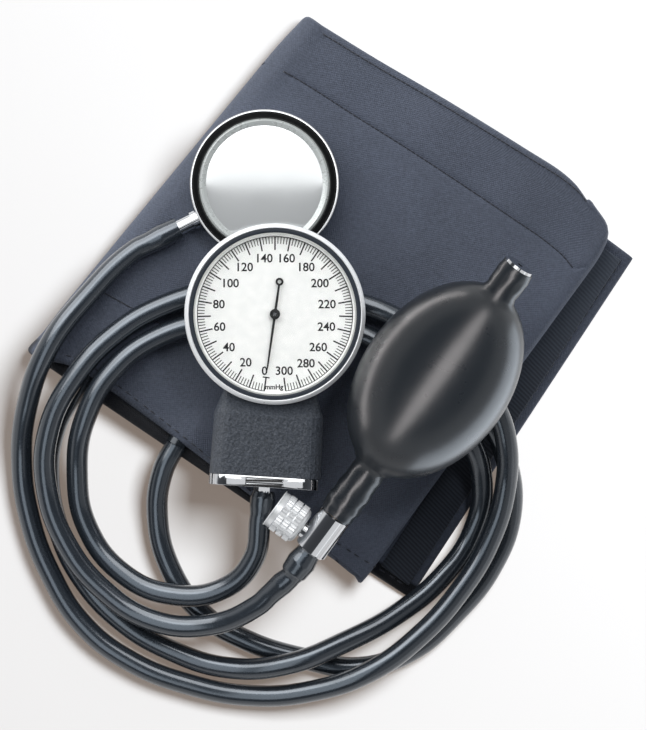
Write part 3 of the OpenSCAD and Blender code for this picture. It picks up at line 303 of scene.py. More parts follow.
def cuff_row(w):
    """Outer and inner points of the ribbon at w, from its closure end to its inner end."""
    line = []
    thick = LAYER_HALF * hem(w)
    # The bottom layer runs from the closure end to the big left fold
    start, fold = Vector(END_LOW).lerp(Vector(END_HIGH), w), left_fold(w) + Vector((BIG_R, 0))
    for k in range(BOTTOM_POINTS):
        line.append((start.lerp(fold, k / (BOTTOM_POINTS - 1)), LAYER_HALF, Vector((0, 0)), -1,
                     thick * thin_end(k)))
    full = POCKET_HALF * fullness(fold, w)
    for k in range(1, FOLD_POINTS + 1):
        share = k / FOLD_POINTS
        turn = math.pi * share
        half = thick + (full - thick) * share
        centre_r = (BIG_R - LAYER_HALF) * (1 - share) + (POCKET_LOW + full - BIG_R) * share
        middle = fold + Vector((-centre_r * math.sin(turn), 0))
        line.append((middle, BIG_R - centre_r * math.cos(turn), Vector((-math.sin(turn), 0)),
                     -math.cos(turn), half))
    # The pocket lies on top and turns down at the right fold
    for k in range(1, POCKET_POINTS + 1):
        point = pocket(k / POCKET_POINTS, w)
        full = POCKET_HALF * fullness(point, w)
        line.append((point, POCKET_LOW + full, Vector((0, 0)), 1, full))
    turn_at, way, reach = right_line(drawn(w, 1))
    start_z, end_z = POCKET_LOW + full, UNDER_LOW + LAYER_HALF
    for k in range(1, 10):
        share = k / 10
        turn = math.pi * share
        half = full + (thick - full) * share
        middle_z = (start_z + end_z) / 2 + (start_z - end_z) / 2 * math.cos(turn)
        out = (reach - (full + thick) / 2) * math.sin(turn)
        line.append((turn_at + way * max(out, 0.1), middle_z, way * math.sin(turn), math.cos(turn), half))
    # Under it the ribbon runs back, folds once more inside the big fold, and ends short of the right fold
    inner, inner_z = left_fold(w) + Vector((INNER_FOLD + SMALL_R, 0)), INNER_LOW + LAYER_HALF
    for k in range(15):
        line.append((turn_at.lerp(inner, k / 14), end_z, Vector((0, 0)), -1, thick))
    centre_r = SMALL_R - LAYER_HALF
    for k in range(1, 8):
        turn = math.pi * k / 8
        middle = inner + Vector((-centre_r * math.sin(turn), 0))
        line.append((middle, (end_z + inner_z) / 2 + centre_r * math.cos(turn),
                     Vector((math.sin(turn), 0)), -math.cos(turn), thick))
    far = inner.lerp(turn_at, INNER_REACH)
    for k in range(13):
        line.append((inner.lerp(far, k / 12), inner_z, Vector((0, 0)), 1, thick * thin_end(12 - k)))
    outer, below = [], []
    for middle, z, way, up, half in line:
        outer.append((middle.x + way.x * half, middle.y + way.y * half, z + up * half))
        below.append((middle.x - way.x * half, middle.y - way.y * half, z - up * half))
    return outer, below


def strip(name, rows, row_line, across):
    """A closed strip of cloth from its rows, with a UV map in metres along and across it."""
    lines = [row_line(w) for w in rows]
    many = len(lines[0][0])
    points = [on_cuff(*p) for outer, below in lines for side in (outer, below) for p in side]

    def at(row, side, k):
        return (row * 2 + side) * many + k

    faces = []
    for row in range(len(rows) - 1):
        for k in range(many - 1):
            faces.append([at(row, 0, k), at(row, 0, k + 1), at(row + 1, 0, k + 1), at(row + 1, 0, k)])
            faces.append([at(row, 1, k + 1), at(row, 1, k), at(row + 1, 1, k), at(row + 1, 1, k + 1)])
        for k, order in ((0, 1), (many - 1, -1)):
            faces.append([at(row, 0, k), at(row + 1, 0, k), at(row + 1, 1, k), at(row, 1, k)][::order])
    for row, order in ((0, 1), (len(rows) - 1, -1)):
        for k in range(many - 1):
            faces.append([at(row, 0, k), at(row, 1, k), at(row, 1, k + 1), at(row, 0, k + 1)][::order])
    mesh = bpy.data.meshes.new(name)
    mesh.from_pydata(points, [], faces)
    middle = lines[len(rows) // 2][0]
    run = [0]
    for a, b in zip(middle, middle[1:]):
        run.append(run[-1] + (Vector(b) - Vector(a)).length * MM)
    uv = mesh.uv_layers.new(name="weave")
    for loop in mesh.loops:
        row, k = divmod(loop.vertex_index, 2 * many)
        uv.data[loop.index].uv = (run[k % many], rows[row] * across * MM)
    piece = bpy.data.objects.new(name, mesh)
    scene.collection.objects.link(piece)
    return piece


def select(piece, mode="OBJECT"):
    """Makes the piece the only one selected, in that mode."""
    bpy.ops.object.select_all(action="DESELECT")
    bpy.context.view_layer.objects.active = piece
    piece.select_set(True)
    if mode == "EDIT":
        bpy.ops.object.mode_set(mode="EDIT")


def outwards(piece):
    """Turns every face of a closed piece outwards."""
    select(piece, "EDIT")
    bpy.ops.mesh.select_all(action="SELECT")
    bpy.ops.mesh.normals_make_consistent(inside=False)
    bpy.ops.object.mode_set(mode="OBJECT")


def apply(piece, kind, **settings):
    """Adds a modifier and applies it."""
    select(piece)
    modifier = piece.modifiers.new(kind.lower(), kind)
    for name, value in settings.items():
        setattr(modifier, name, value)
    bpy.ops.object.modifier_apply(modifier=modifier.name)


# Rows of points across the ribbon: close together at the hems and the seam, even between them
HEM_LINE = 3.4
hem_rows = [0, 0.5, 1.2, 2.2, HEM_LINE, 5, 8]
seam_at = SEAM * WIDE
seam_rows = [seam_at + d for d in (-3, -1.3, -0.6, 0, 0.6, 1.3, 3)]
first_row, last_row = hem_rows[-1], seam_rows[0]
body_rows = [first_row + (last_row - first_row) * k / 26 for k in range(1, 26)]
rows = hem_rows + body_rows + seam_rows + [125, 129] + [WIDE - r for r in reversed(hem_rows[:-1])]
cuff = strip("cuff_sleeve", [r / WIDE for r in rows], cuff_row, WIDE)
outwards(cuff)

# Seam, hem line and slack: the cloth rises over the bladder's two necks at its low hem, the seam pulls
# it down 0.55 mm, the hem line 0.3 mm, and the pocket sags up to 0.9 mm in soft waves, except where the
# chestpiece, the gauge and its box press it flat.
ARCH_OVER, ARCH_HALF = 0.55, 5.2
SEAM_DROP, SEAM_HALF, HEM_DROP, HEM_HALF, SAG, FLAT_EDGE = 0.55, 0.55, 0.3, 0.6, 0.9, 14
LONG_WAVE, SHORT_WAVE = 0.028, 0.07
CHEST_AT, GAUGE_AT = (-21.8, 39.4), (-18.3, -2.4)
PRESSED = [(CHEST_AT, 24), (GAUGE_AT, 20), ((-20, -38), 22)]
SAG_ABOVE = 11
neck_lines = []
for neck in NECKS:
    start = on_cuff(neck, NECK_OUT, NECK_Z)
    end = on_cuff(neck + NECK_WAY[0], NECK_OUT + NECK_WAY[1], NECK_Z)
    neck_lines.append((start, (end - start).normalized()))
many = len(cuff_row(0.5)[0])
first_column = BOTTOM_POINTS + FOLD_POINTS
for index, vertex in enumerate(cuff.data.vertices):
    row, k = divmod(index, 2 * many)
    if k >= many or not first_column <= k <= first_column + POCKET_POINTS:
        continue
    for start, way in neck_lines:
        away = (vertex.co - start) / MM
        on = away.dot(way)
        side = (away - on * way).xy.length
        arch = NECK_Z + HOSE / 2 + ARCH_OVER - vertex.co.z / MM
        near = math.exp(-(side / ARCH_HALF) ** 2) * (1 - ease(on, 7, 14))
        vertex.co.z += max(0, arch) * near * MM
    if vertex.co.z < SAG_ABOVE * MM:
        continue
    drop = SEAM_DROP * math.exp(-((rows[row] - seam_at) / SEAM_HALF) ** 2)
    edge = min(abs(rows[row] - HEM_LINE), abs(rows[row] - (WIDE - HEM_LINE)))
    drop += HEM_DROP * math.exp(-(edge / HEM_HALF) ** 2)
    spot = vertex.co / MM
    free = min(1, *[ease((spot.xy - Vector(c)).length, r, r + FLAT_EDGE) for c, r in PRESSED])
    long_wave = noise.noise(Vector((spot.x * LONG_WAVE, spot.y * LONG_WAVE, 3.1)))
    short_wave = noise.noise(Vector((spot.x * SHORT_WAVE, spot.y * SHORT_WAVE, 8.4)))
    drop += free * SAG * max(0, min(1, 0.45 + 0.75 * long_wave + 0.3 * short_wave))
    vertex.co.z -= drop * MM
apply(cuff, "SUBSURF", levels=1, render_levels=1)
select(cuff)
bpy.ops.object.shade_smooth()

# Coated nylon, plain weave: matt blue-grey threads with a soft sheen across them. The real threads are
# 0.4 mm apart, finer than a pixel, so they are drawn 0.9 mm apart, and turned a little from the hems.
nylon, tree, shader = surface("coated_nylon", "#535a69", Roughness=0.62, IOR=1.5, Sheen_Weight=0.25,
                              Sheen_Roughness=0.4)
shader.inputs["Sheen Tint"].default_value = hue("#9aa3b5")
woven_at = add(tree, "ShaderNodeUVMap", uv_map="weave").outputs["UV"]
where = add(tree, "ShaderNodeTexCoord").outputs["Object"]
THREAD = 0.9 * MM
split = add(tree, "ShaderNodeSeparateXYZ", {"Vector": woven_at})
waves = []
for axis in "XY":
    turns = add(tree, "ShaderNodeMath", {0: split.outputs[axis], 1: 2 * math.pi / THREAD},
                operation="MULTIPLY")
    waves.append(add(tree, "ShaderNodeMath", {0: turns.outputs[0]}, operation="SINE").outputs[0])
crossed = add(tree, "ShaderNodeMath", {0: waves[0], 1: waves[1]}, operation="MULTIPLY")
# Slow clouds of 45 mm and a nap of 0.8 mm lie over the weave, as on cloth that has been folded and used
CLOUD, NAP = 45 * MM, 0.77 * MM
cloud = add(tree, "ShaderNodeTexNoise", {"Vector": where, "Scale": 1 / CLOUD, "Detail": 2.0})
grain = add(tree, "ShaderNodeTexNoise", {"Vector": where, "Scale": 1 / NAP, "Detail": 1.0})
woven = add(tree, "ShaderNodeMath", {0: crossed.outputs[0], 1: 0.08}, operation="MULTIPLY")
grainy = add(tree, "ShaderNodeMath", {0: grain.outputs["Fac"], 1: 0.55, 2: woven.outputs[0]},
             operation="MULTIPLY_ADD")
clouded = add(tree, "ShaderNodeMath", {0: cloud.outputs["Fac"], 1: 0.45, 2: grainy.outputs[0]},
              operation="MULTIPLY_ADD")
colors = add(tree, "ShaderNodeValToRGB", {"Fac": clouded.outputs[0]},
             stops=[(0.25, "#464c59"), (0.75, "#60687a")])
# The lower layers darken to near black within 4 to 5 mm of their low hem, where it shows under the
# pocket's low hem: painted shade on the stack's edges
up = add(tree, "ShaderNodeSeparateXYZ", {"Vector": where}).outputs["Z"]
under = add(tree, "ShaderNodeMapRange", {"Value": up, "From Min": 10.5 * MM, "From Max": 9 * MM})
edge = add(tree, "ShaderNodeMapRange", {"Value": split.outputs["Y"], "From Min": 5.2 * MM,
                                        "From Max": 4.2 * MM})
# Painted shade: the mask covers the lower layers' strip along their low hem, under the pocket
painted_shade_mask = add(tree, "ShaderNodeMath", {0: under.outputs["Result"], 1: edge.outputs["Result"]},
            operation="MULTIPLY")
painted_shade_mix = add(tree, "ShaderNodeMixRGB", {"Fac": painted_shade_mask.outputs[0], "Color1": colors.outputs["Color"],
                                       "Color2": hue("#14161d")})
tree.links.new(painted_shade_mix.outputs["Color"], shader.inputs["Base Color"])
height = add(tree, "ShaderNodeMath", {0: grain.outputs["Fac"], 1: 0.5, 2: crossed.outputs[0]},
             operation="MULTIPLY_ADD")
bump = add(tree, "ShaderNodeBump", {"Height": height.outputs[0], "Strength": 0.45, "Distance": 0.00015})
tree.links.new(bump.outputs["Normal"], shader.inputs["Normal"])
place(cuff, nylon, "cuff_cloth", "cuff")

# Bladder: a flat bag of moulded rubber that lies in the pocket and folds back under it at the right,
# with two necks at its low edge that the long hoses are pushed into.
BAG_LOW, BAG_WIDE, BAG_HALF = -60, 104, 0.7
BAG_RIGHT, BAG_TOP_LONG, BAG_BACK_LONG = 61.85, 112, 97
BAG_TOP_Z, BAG_FOLD_Z, BAG_BACK_Z = 11.6, 9.6, 7.6
NECK_LONG, NECK_END_R = 9.5, 2.5


def bladder_row(w):
    """Outer and inner points of the bag at w, from its left end over the fold to its other end."""
    v = BAG_LOW + BAG_WIDE * w
    half = BAG_HALF * (0.4 + 0.6 * ease(min(w, 1 - w) * BAG_WIDE, 0, 2))
    line = [(BAG_RIGHT - BAG_TOP_LONG * (28 - k) / 28, BAG_TOP_Z, 0, 1, half) for k in range(29)]
    for k in range(1, 8):
        turn = math.pi * k / 8
        line.append((BAG_RIGHT + 1.9 * math.sin(turn), BAG_FOLD_Z + 1.995 * math.cos(turn),
                     math.sin(turn), math.cos(turn), half))
    line += [(BAG_RIGHT - BAG_BACK_LONG * k / 24, BAG_BACK_Z, 0, -1, half) for k in range(25)]
    outer = [(u + way * half, v, z + up * half) for u, z, way, up, half in line]
    below = [(u - way * half, v, z - up * half) for u, z, way, up, half in line]
    return outer, below


bladder = strip("bladder_bag", [k / 20 for k in range(21)], bladder_row, BAG_WIDE)
outwards(bladder)
necks = []
for start, way in neck_lines:
    bpy.ops.object.select_all(action="DESELECT")
    bpy.ops.mesh.primitive_cone_add(vertices=24, radius1=HOSE / 2 * MM, radius2=NECK_END_R * MM,
                                    depth=NECK_LONG * MM, location=start + way * NECK_LONG / 2 * MM,
                                    rotation=way.to_track_quat("Z", "Y").to_euler())
    tube = bpy.context.object
    bpy.ops.object.transform_apply(location=True, rotation=True, scale=True)
    bpy.ops.object.shade_smooth_by_angle(angle=math.radians(40))
    necks.append(tube)
select(bladder)
for tube in necks:
    tube.select_set(True)
bpy.ops.object.join()
place(bladder, rubber, "bladder_rubber", "bladder")

# Hook and loop tape: woven nylon tape cut to length. The hook strip is sewn on the closure end, and
# the loop panel that it closes on lies between the layers.

# Woven tape: dark and matt, with slanting ribs, and paler towards its upper end: painted shade that
# darkens its lower end. The real ribs are finer than a pixel, so they are drawn 1.1 mm apart.
twill, tree, shader = surface("woven_tape", "#333844", Roughness=0.85, Sheen_Weight=0.2,
                              Sheen_Roughness=0.5)
where = add(tree, "ShaderNodeTexCoord").outputs["Object"]
RIB = 1.11 * MM
# The wave node repeats its slanting bands each 2 pi / (10 * root 2 * scale) metres
rib_scale = 2 * math.pi / (10 * math.sqrt(2) * RIB)
ribs = add(tree, "ShaderNodeTexWave", {"Vector": where, "Scale": rib_scale, "Distortion": 0.8,
                                       "Detail": 1.0}, bands_direction="DIAGONAL")
upwards = add(tree, "ShaderNodeSeparateXYZ", {"Vector": where}).outputs["Y"]
# Painted shade: the tape's colour darkens from its upper end down to its lower end
painted_shade_gradient = add(tree, "ShaderNodeMapRange", {"Value": upwards, "From Min": -60 * MM, "From Max": 30 * MM,
                                         "To Max": 0.65})
mixed = add(tree, "ShaderNodeMath", {0: ribs.outputs["Fac"], 1: 0.3, 2: painted_shade_gradient.outputs["Result"]},
            operation="MULTIPLY_ADD")
shade = add(tree, "ShaderNodeValToRGB", {"Fac": mixed.outputs[0]},
            stops=[(0.0, "#282c35"), (1.0, "#5a626f")])
tree.links.new(shade.outputs["Color"], shader.inputs["Base Color"])
bump = add(tree, "ShaderNodeBump", {"Height": ribs.outputs["Fac"], "Strength": 0.4, "Distance": 0.0002})
tree.links.new(bump.outputs["Normal"], shader.inputs["Normal"])


def copy_of(node, name):
    """A merged copy of a CAD part's mesh, to be worked on."""
    mesh = nodes[node].data.copy()
    piece = bpy.data.objects.new(name, mesh)
    scene.collection.objects.link(piece)
    select(piece, "EDIT")
    bpy.ops.mesh.select_all(action="SELECT")
    bpy.ops.mesh.remove_doubles(threshold=0.01 * MM)
    bpy.ops.mesh.normals_make_consistent(inside=False)
    bpy.ops.mesh.customdata_custom_splitnormals_clear()
    bpy.ops.object.mode_set(mode="OBJECT")
    return piece


for node, name in (("hook_strip", "hook_tape"), ("loop_panel", "loop_tape")):
    tape = copy_of(node, name)
    apply(tape, "BEVEL", width=0.3 * MM, segments=3, limit_method="ANGLE")
    select(tape)
    bpy.ops.object.shade_smooth_by_angle(angle=math.radians(40))
    place(tape, twill, "tape", node)

# Stitches: polyester thread, sewn through the hems, the seams and the closure end by machine. One lock
# stitch is modelled and copied along each line, lying on the cloth.

# Spun polyester: dark, matt and a little fuzzy, so that it hardly glints.
thread, tree, shader = surface("polyester_thread", "#2c303b", Roughness=0.6, Sheen_Weight=0.3)
where = add(tree, "ShaderNodeTexCoord").outputs["Object"]
FUZZ = 0.333 * MM
fuzz = add(tree, "ShaderNodeTexNoise", {"Vector": where, "Scale": 1 / FUZZ})
bump = add(tree, "ShaderNodeBump", {"Height": fuzz.outputs["Fac"], "Strength": 0.4, "Distance": 0.0001})
tree.links.new(bump.outputs["Normal"], shader.inputs["Normal"])
STITCH, THREAD_R = 2.3, 0.28
WIDE_PITCH, FINE_PITCH = 3.3, 1.7
bpy.ops.object.select_all(action="DESELECT")
bpy.ops.mesh.primitive_uv_sphere_add(segments=6, ring_count=4, radius=1)
stitch = bpy.context.object
stitch.data.transform(Matrix.Diagonal((STITCH / 2 * MM, THREAD_R * MM, THREAD_R * MM, 1)))
cloth = BVHTree.FromObject(cuff, bpy.context.evaluated_depsgraph_get())
LOW_SEWN, TOP_SEWN, END_SEWN, OVER_CLOTH = 3.1, 2.4, 3, 40


def straight(start, end, count):
    """That many points on a straight line."""
    return [Vector(start).lerp(Vector(end), k / (count - 1)) for k in range(count)]


SEWN = {
    "low_hem_stitches": (WIDE_PITCH, [pocket(k / 120, LOW_SEWN / WIDE) for k in range(2, 116)]),
    "top_hem_stitches": (FINE_PITCH, [pocket(k / 240, 1 - TOP_SEWN / WIDE) for k in range(4, 236)]),
    "pocket_seam_stitches": (FINE_PITCH, [Vector((-58.4, 48.6))] + [pocket(k / 240, SEAM)
                                                                    for k in range(2, 240)]),
    "low_seam_stitches": (FINE_PITCH, straight((-64, -42), (-30, -37.6), 61)),
    "closure_stitches": (WIDE_PITCH, [
        Vector(END_LOW).lerp(Vector(END_HIGH), 0.02 + 0.96 * k / 120) - Vector((END_SEWN, 0))
        for k in range(121)]),
    "closure_low_stitches": (WIDE_PITCH, straight((END_LOW[0] - END_SEWN, -60), (20, -64), 61))}
for name, (pitch, line) in SEWN.items():
    copies = []
    walked = 0
    for a, b in zip(line, line[1:]):
        step = (b - a).length
        walked += step
        if walked < pitch:
            continue
        walked -= pitch
        middle = on_cuff(a.x, a.y, OVER_CLOTH)
        spot, normal = cloth.ray_cast(middle, Vector((0, 0, -1)))[:2]
        if spot is None:
            continue
        way = (on_cuff(b.x, b.y, OVER_CLOTH) - middle).normalized()
        side = normal.cross(way).normalized()
        way = side.cross(normal)
        one = stitch.copy()
        one.data = stitch.data.copy()
        one.data.transform(Matrix.Translation(spot) @ Matrix((way, side, normal)).transposed().to_4x4())
        scene.collection.objects.link(one)
        copies.append(one)
    select(copies[0])
    for one in copies:
        one.select_set(True)
    bpy.ops.object.join()
    sewn = bpy.context.object
    sewn.name = name
    bpy.ops.object.shade_smooth()
    place(sewn, thread, "cuff_cloth")
bpy.data.objects.remove(stitch)

# Chestpiece: a turned and chromed brass body with a barbed stem, a black rubber ring that is warm to
# the skin, and a snap ring that holds the diaphragm, a slightly domed disc of glossy film.

# Chrome plate: a sharp, cool mirror, with wipe marks some 8 mm wide where it is handled.
chrome, tree, shader = surface("chrome_plate", "#d9dbde", Metallic=1.0, Roughness=0.06)
mottled(tree, shader, 8.33, 0.03, 0.14, detail=3.0)

# Anodised aluminium, satin: pale grey with broad, soft glints, a little uneven from its turning.
satin, tree, shader = surface("satin_aluminium", "#cfd4d3", Metallic=0.35, Roughness=0.28)
mottled(tree, shader, 1.67, 0.24, 0.32)

# Moulded black plastic: deep black, with a small glint that its shallow pits break up.
moulded, tree, shader = surface("moulded_black_plastic", "#090a0c", Roughness=0.2, IOR=1.5)
where = add(tree, "ShaderNodeTexCoord").outputs["Object"]
PITS = 1.11 * MM
pits = add(tree, "ShaderNodeTexNoise", {"Vector": where, "Scale": 1 / PITS, "Detail": 2.0})
bump = add(tree, "ShaderNodeBump", {"Height": pits.outputs["Fac"], "Strength": 0.15, "Distance": 0.0001})
tree.links.new(bump.outputs["Normal"], shader.inputs["Normal"])

# Glossy film: pale, and it mirrors the room with a haze that changes slowly across the disc.
film, tree, shader = surface("glossy_film", "#e4e7e8", Roughness=0.1, IOR=1.5, Metallic=0.5)
mottled(tree, shader, 16.7, 0.06, 0.12)


def dress(material, *names):
    """Gives CAD parts, whose shapes are right, their finish."""
    for name in names:
        nodes[name].data.materials.clear()
        nodes[name].data.materials.append(material)


dress(chrome, "chestpiece_body", "chestpiece_stem", "tube_connector")
dress(moulded, "non_chill_ring")
dress(satin, "diaphragm_ring")


def turned_piece(name, profile, sides):
    """Spins a profile of (radius, height) in millimetres about +Z, ring by ring, from one circle."""
    bpy.ops.object.select_all(action="DESELECT")
    radius, height = profile[0]
    bpy.ops.mesh.primitive_circle_add(vertices=sides, radius=max(radius, 0.01) * MM,
                                      location=(0, 0, height * MM))
    piece = bpy.context.object
    piece.name = name
    bpy.ops.object.transform_apply(location=True, rotation=True, scale=True)
    bpy.ops.object.mode_set(mode="EDIT")
    bpy.ops.mesh.select_all(action="SELECT")
    for (r0, z0), (r1, z1) in zip(profile, profile[1:]):
        bpy.ops.mesh.extrude_region_move(TRANSFORM_OT_translate={"value": (0, 0, (z1 - z0) * MM)})
        share = max(r1, 0.01) / max(r0, 0.01)
        bpy.ops.transform.resize(value=(share, share, 1), center_override=(0, 0, z1 * MM))
    bpy.ops.mesh.select_all(action="SELECT")
    bpy.ops.mesh.remove_doubles(threshold=0.02 * MM)
    bpy.ops.mesh.normals_make_consistent(inside=False)
    bpy.ops.object.mode_set(mode="OBJECT")
    bpy.ops.object.shade_smooth()
    return piece


def settle(piece, matrix):
    """Moves a piece's mesh to its place."""
    piece.data.transform(matrix)
    piece.data.update()


FILM_R, FILM_UNDER, FILM_RIM, FILM_DOME = 19.0, 21.35, 21.72, 0.5
dome = [(FILM_R * math.sin(math.radians(a)), FILM_RIM + FILM_DOME * math.cos(math.radians(a)))
        for a in range(90, -1, -6)]
diaphragm = turned_piece("domed_diaphragm", [(0, FILM_UNDER), (FILM_R, FILM_UNDER)] + dome, 96)
settle(diaphragm, Matrix.Translation(Vector((*CHEST_AT, 0)) * MM))
place(diaphragm, film, "diaphragm_film", "diaphragm")

# Gauge: a die-cast case in crinkle enamel with the bellows box below it. Under its clear moulded window
# lies a printed dial inside a white ring.

# Crinkle enamel, sprayed and baked: dark grey, with a grain of 1 mm cells that breaks up every glint.
enamel, tree, shader = surface("crinkle_enamel", "#2a2d33", Roughness=0.5, IOR=1.5, Coat_Weight=0.25,
                               Coat_Roughness=0.35)
where = add(tree, "ShaderNodeTexCoord").outputs["Object"]
CELL, FLECK = 1.11 * MM, 0.556 * MM
cells = add(tree, "ShaderNodeTexVoronoi", {"Vector": where, "Scale": 1 / CELL}, feature="SMOOTH_F1")
blotch = add(tree, "ShaderNodeTexNoise", {"Vector": where, "Scale": 1 / FLECK, "Detail": 2.0})
both = add(tree, "ShaderNodeMath", {0: cells.outputs["Distance"], 1: blotch.outputs["Fac"]},
           operation="ADD")
bump = add(tree, "ShaderNodeBump", {"Height": both.outputs[0], "Strength": 0.8, "Distance": 0.0003})
tree.links.new(bump.outputs["Normal"], shader.inputs["Normal"])
shade = add(tree, "ShaderNodeValToRGB", {"Fac": blotch.outputs["Fac"]},
            stops=[(0.3, "#383d44"), (0.7, "#5a606a")])
tree.links.new(shade.outputs["Color"], shader.inputs["Base Color"])

# White dial enamel: half matt and nearly even, with specks of 2.5 mm that can only just be seen.
paper, tree, shader = surface("printed_dial_enamel", "#eceeec", Roughness=0.45)
where = add(tree, "ShaderNodeTexCoord").outputs["Object"]
SPECK = 2.5 * MM
specks = add(tree, "ShaderNodeTexNoise", {"Vector": where, "Scale": 1 / SPECK, "Detail": 2.0})
shade = add(tree, "ShaderNodeValToRGB", {"Fac": specks.outputs["Fac"]},
            stops=[(0.3, "#e9ebe9"), (0.7, "#f1f2f0")])
tree.links.new(shade.outputs["Color"], shader.inputs["Base Color"])

# Clear acrylic: it hardly shows but for a reflection here and there, blurred by faint smears.
acrylic, tree, shader = surface("clear_acrylic", "#ffffff", Roughness=0.02, IOR=1.49,
                                Transmission_Weight=1.0)
mottled(tree, shader, 11.1, 0.0, 0.04)
dress(enamel, "gauge_case")
dress(chrome, "gauge_nipple")
dress(acrylic, "crystal")
dress(paper, "dial_ring", "dial")
nodes["crystal"].visible_shadow = False

# Bezel and gasket: a spun ring with a chamfered and polished edge, pressed over a soft dark ring that
# bulges a little above the window's rim.
GAUGE = Matrix.Translation(Vector((*GAUGE_AT, 0)) * MM)
RING_SIDES = 128

# Bright aluminium: nearly white, its highlights soft and a little streaked by polishing.
bright, tree, shader = surface("bright_aluminium", "#f6f8fa", Metallic=0.4, Roughness=0.3)
mottled(tree, shader, 3.33, 0.22, 0.4)
foot = [(27.5, 35.9), (28.8, 35.9)]
chamfer = [(28.8, 39.3), (28.78, 39.5), (28.65, 39.75), (27.85, 40.7), (27.7, 40.85), (27.5, 40.85),
           (27.4, 40.7)]
bore = [(27.3, 38.4), (27.5, 38.0), foot[0]]
bezel = turned_piece("polished_bezel", foot + chamfer + bore, RING_SIDES)
settle(bezel, GAUGE)
place(bezel, bright, "chrome", "bezel")

# Soft vinyl: dark blue-grey and half matt, with a faint bloom.
vinyl, tree, shader = surface("soft_vinyl", "#2e353f", Roughness=0.45)
mottled(tree, shader, 5.0, 0.38, 0.52)
flat_back = [(25.9, 39.65), (27.3, 39.65)]
bulge = [(26.6 + 0.7 * math.cos(math.radians(a)), 39.9 + 0.2 * math.sin(math.radians(a)))
         for a in range(0, 181, 12)]
gasket = turned_piece("soft_gasket", flat_back + bulge + flat_back[:1], RING_SIDES)
settle(gasket, GAUGE)
place(gasket, vinyl, "black_plastic", "bezel_gasket")
bezel.visible_shadow = gasket.visible_shadow = False

# End plate: a chromed steel cap pressed on the end of the bellows box. The faces in two slots in its
# upper rim
# are black plastic: painted shade in the slots.
PLATE_TURN, PLATE_Y, PLATE_TOP = 3.6, -53.85, 35.9
SLOT_OFF, SLOT_HALF, SLOT_DEEP, SLOT_REACH = 0.75, 0.36, 0.75, 5.7
plate = copy_of("end_plate", "slotted_plate")
apply(plate, "BEVEL", width=0.35 * MM, segments=3, limit_method="ANGLE", angle_limit=math.radians(50))
select(plate)
bpy.ops.object.shade_smooth_by_angle(angle=math.radians(35))
place(plate, chrome, "chrome", "end_plate")
plate.data.materials.append(moulded)
unturned = Matrix.Rotation(math.radians(PLATE_TURN), 3, "Z")
# Painted shade: the faces inside the two slots take the black plastic, so that the slots read dark
for face in plate.data.polygons:
    spot = unturned @ (face.center / MM - Vector((*GAUGE_AT, 0)))
    from_slot = min(abs(spot.y - PLATE_Y - off) for off in (-SLOT_OFF, SLOT_OFF))
    if abs(spot.x) < SLOT_REACH and spot.z > PLATE_TOP - SLOT_DEEP and from_slot < SLOT_HALF:
        face.material_index = 1

# Dial print: black screen-printed scale from 0 to 300, a short mark each 2 and a long one each 10, and
# plain numbers each 20.
DIAL = Vector((*GAUGE_AT, 35.6))
SWEEP, FULL = 344, 300
OVER_DIAL, INK_THICK = 0.02, 0.04
MARK_END, LONG_START, SHORT_START = 24.7, 20.4, 22.4
LONG_WIDE, SHORT_WIDE = 0.46, 0.27
# The short bar at the foot of the zero mark: its width, where it starts and where it ends
ZERO_BAR = (2.2, 20.1, 20.5)
# The arc that joins the marks' outer ends is printed in that many straight bars of that height
ARC, ARC_WIDE = 96, 0.3
NUMBER_R, NUMBER_HIGH, UNIT_HIGH = 18, 3.8, 2.15

# Printing ink: matt black, slightly uneven where the screen's mesh left its dots.
ink, tree, shader = surface("printing_ink", "#0d0e10", Roughness=0.6)
mottled(tree, shader, 0.4, 0.55, 0.7)
copies = []


def printed(width, low, high, turn):
    """A printed bar that stands from radius low to high, turned clockwise from the top."""
    bpy.ops.mesh.primitive_plane_add(size=1)
    bar = bpy.context.object
    bar.data.transform(Matrix.Translation((DIAL + Vector((0, 0, OVER_DIAL))) * MM)
                       @ Matrix.Rotation(-turn, 4, "Z")
                       @ Matrix.Translation((0, (low + high) / 2 * MM, 0))
                       @ Matrix.Diagonal((width * MM, (high - low) * MM, 1, 1)))
    copies.append(bar)


def joined(name):
    """Joins what was printed, and gives it the thickness of the ink."""
    select(copies[0])
    for one in copies:
        one.select_set(True)
    bpy.ops.object.join()
    piece = bpy.context.object
    piece.name = name
    copies.clear()
    apply(piece, "SOLIDIFY", thickness=INK_THICK * MM, offset=1)
    place(piece, ink, "pointer_black")


def turn_of(value):
    """How far the pointer has turned clockwise from the top at that reading."""
    return math.radians(-SWEEP / 2 + SWEEP * value / FULL)


bpy.ops.object.select_all(action="DESELECT")
for value in range(0, FULL + 1, 2):
    if value % 10:
        printed(SHORT_WIDE, SHORT_START, MARK_END, turn_of(value))
    else:
        printed(LONG_WIDE, LONG_START, MARK_END, turn_of(value))
printed(*ZERO_BAR, turn_of(0))
for k in range(ARC):
    printed(MARK_END * math.radians(SWEEP / ARC) + 0.1, MARK_END - ARC_WIDE / 2, MARK_END + ARC_WIDE / 2,
            turn_of(FULL * (k + 0.5) / ARC))
joined("scale_marks")


def word(body, size, x, y):
    """A printed word or number of the built-in face, centred on the dial at x, y."""
    bpy.ops.object.select_all(action="DESELECT")
    bpy.ops.object.text_add()
    made = bpy.context.object
    made.data.body = body
    made.data.size = size * MM
    made.data.align_x = made.data.align_y = "CENTER"
    made.data.resolution_u = 4
    made.data.offset = 0.06 * MM
    bpy.ops.object.convert(target="MESH")
    made = bpy.context.object
    made.data.transform(Matrix.Translation((DIAL + Vector((x, y, OVER_DIAL))) * MM))
    copies.append(made)


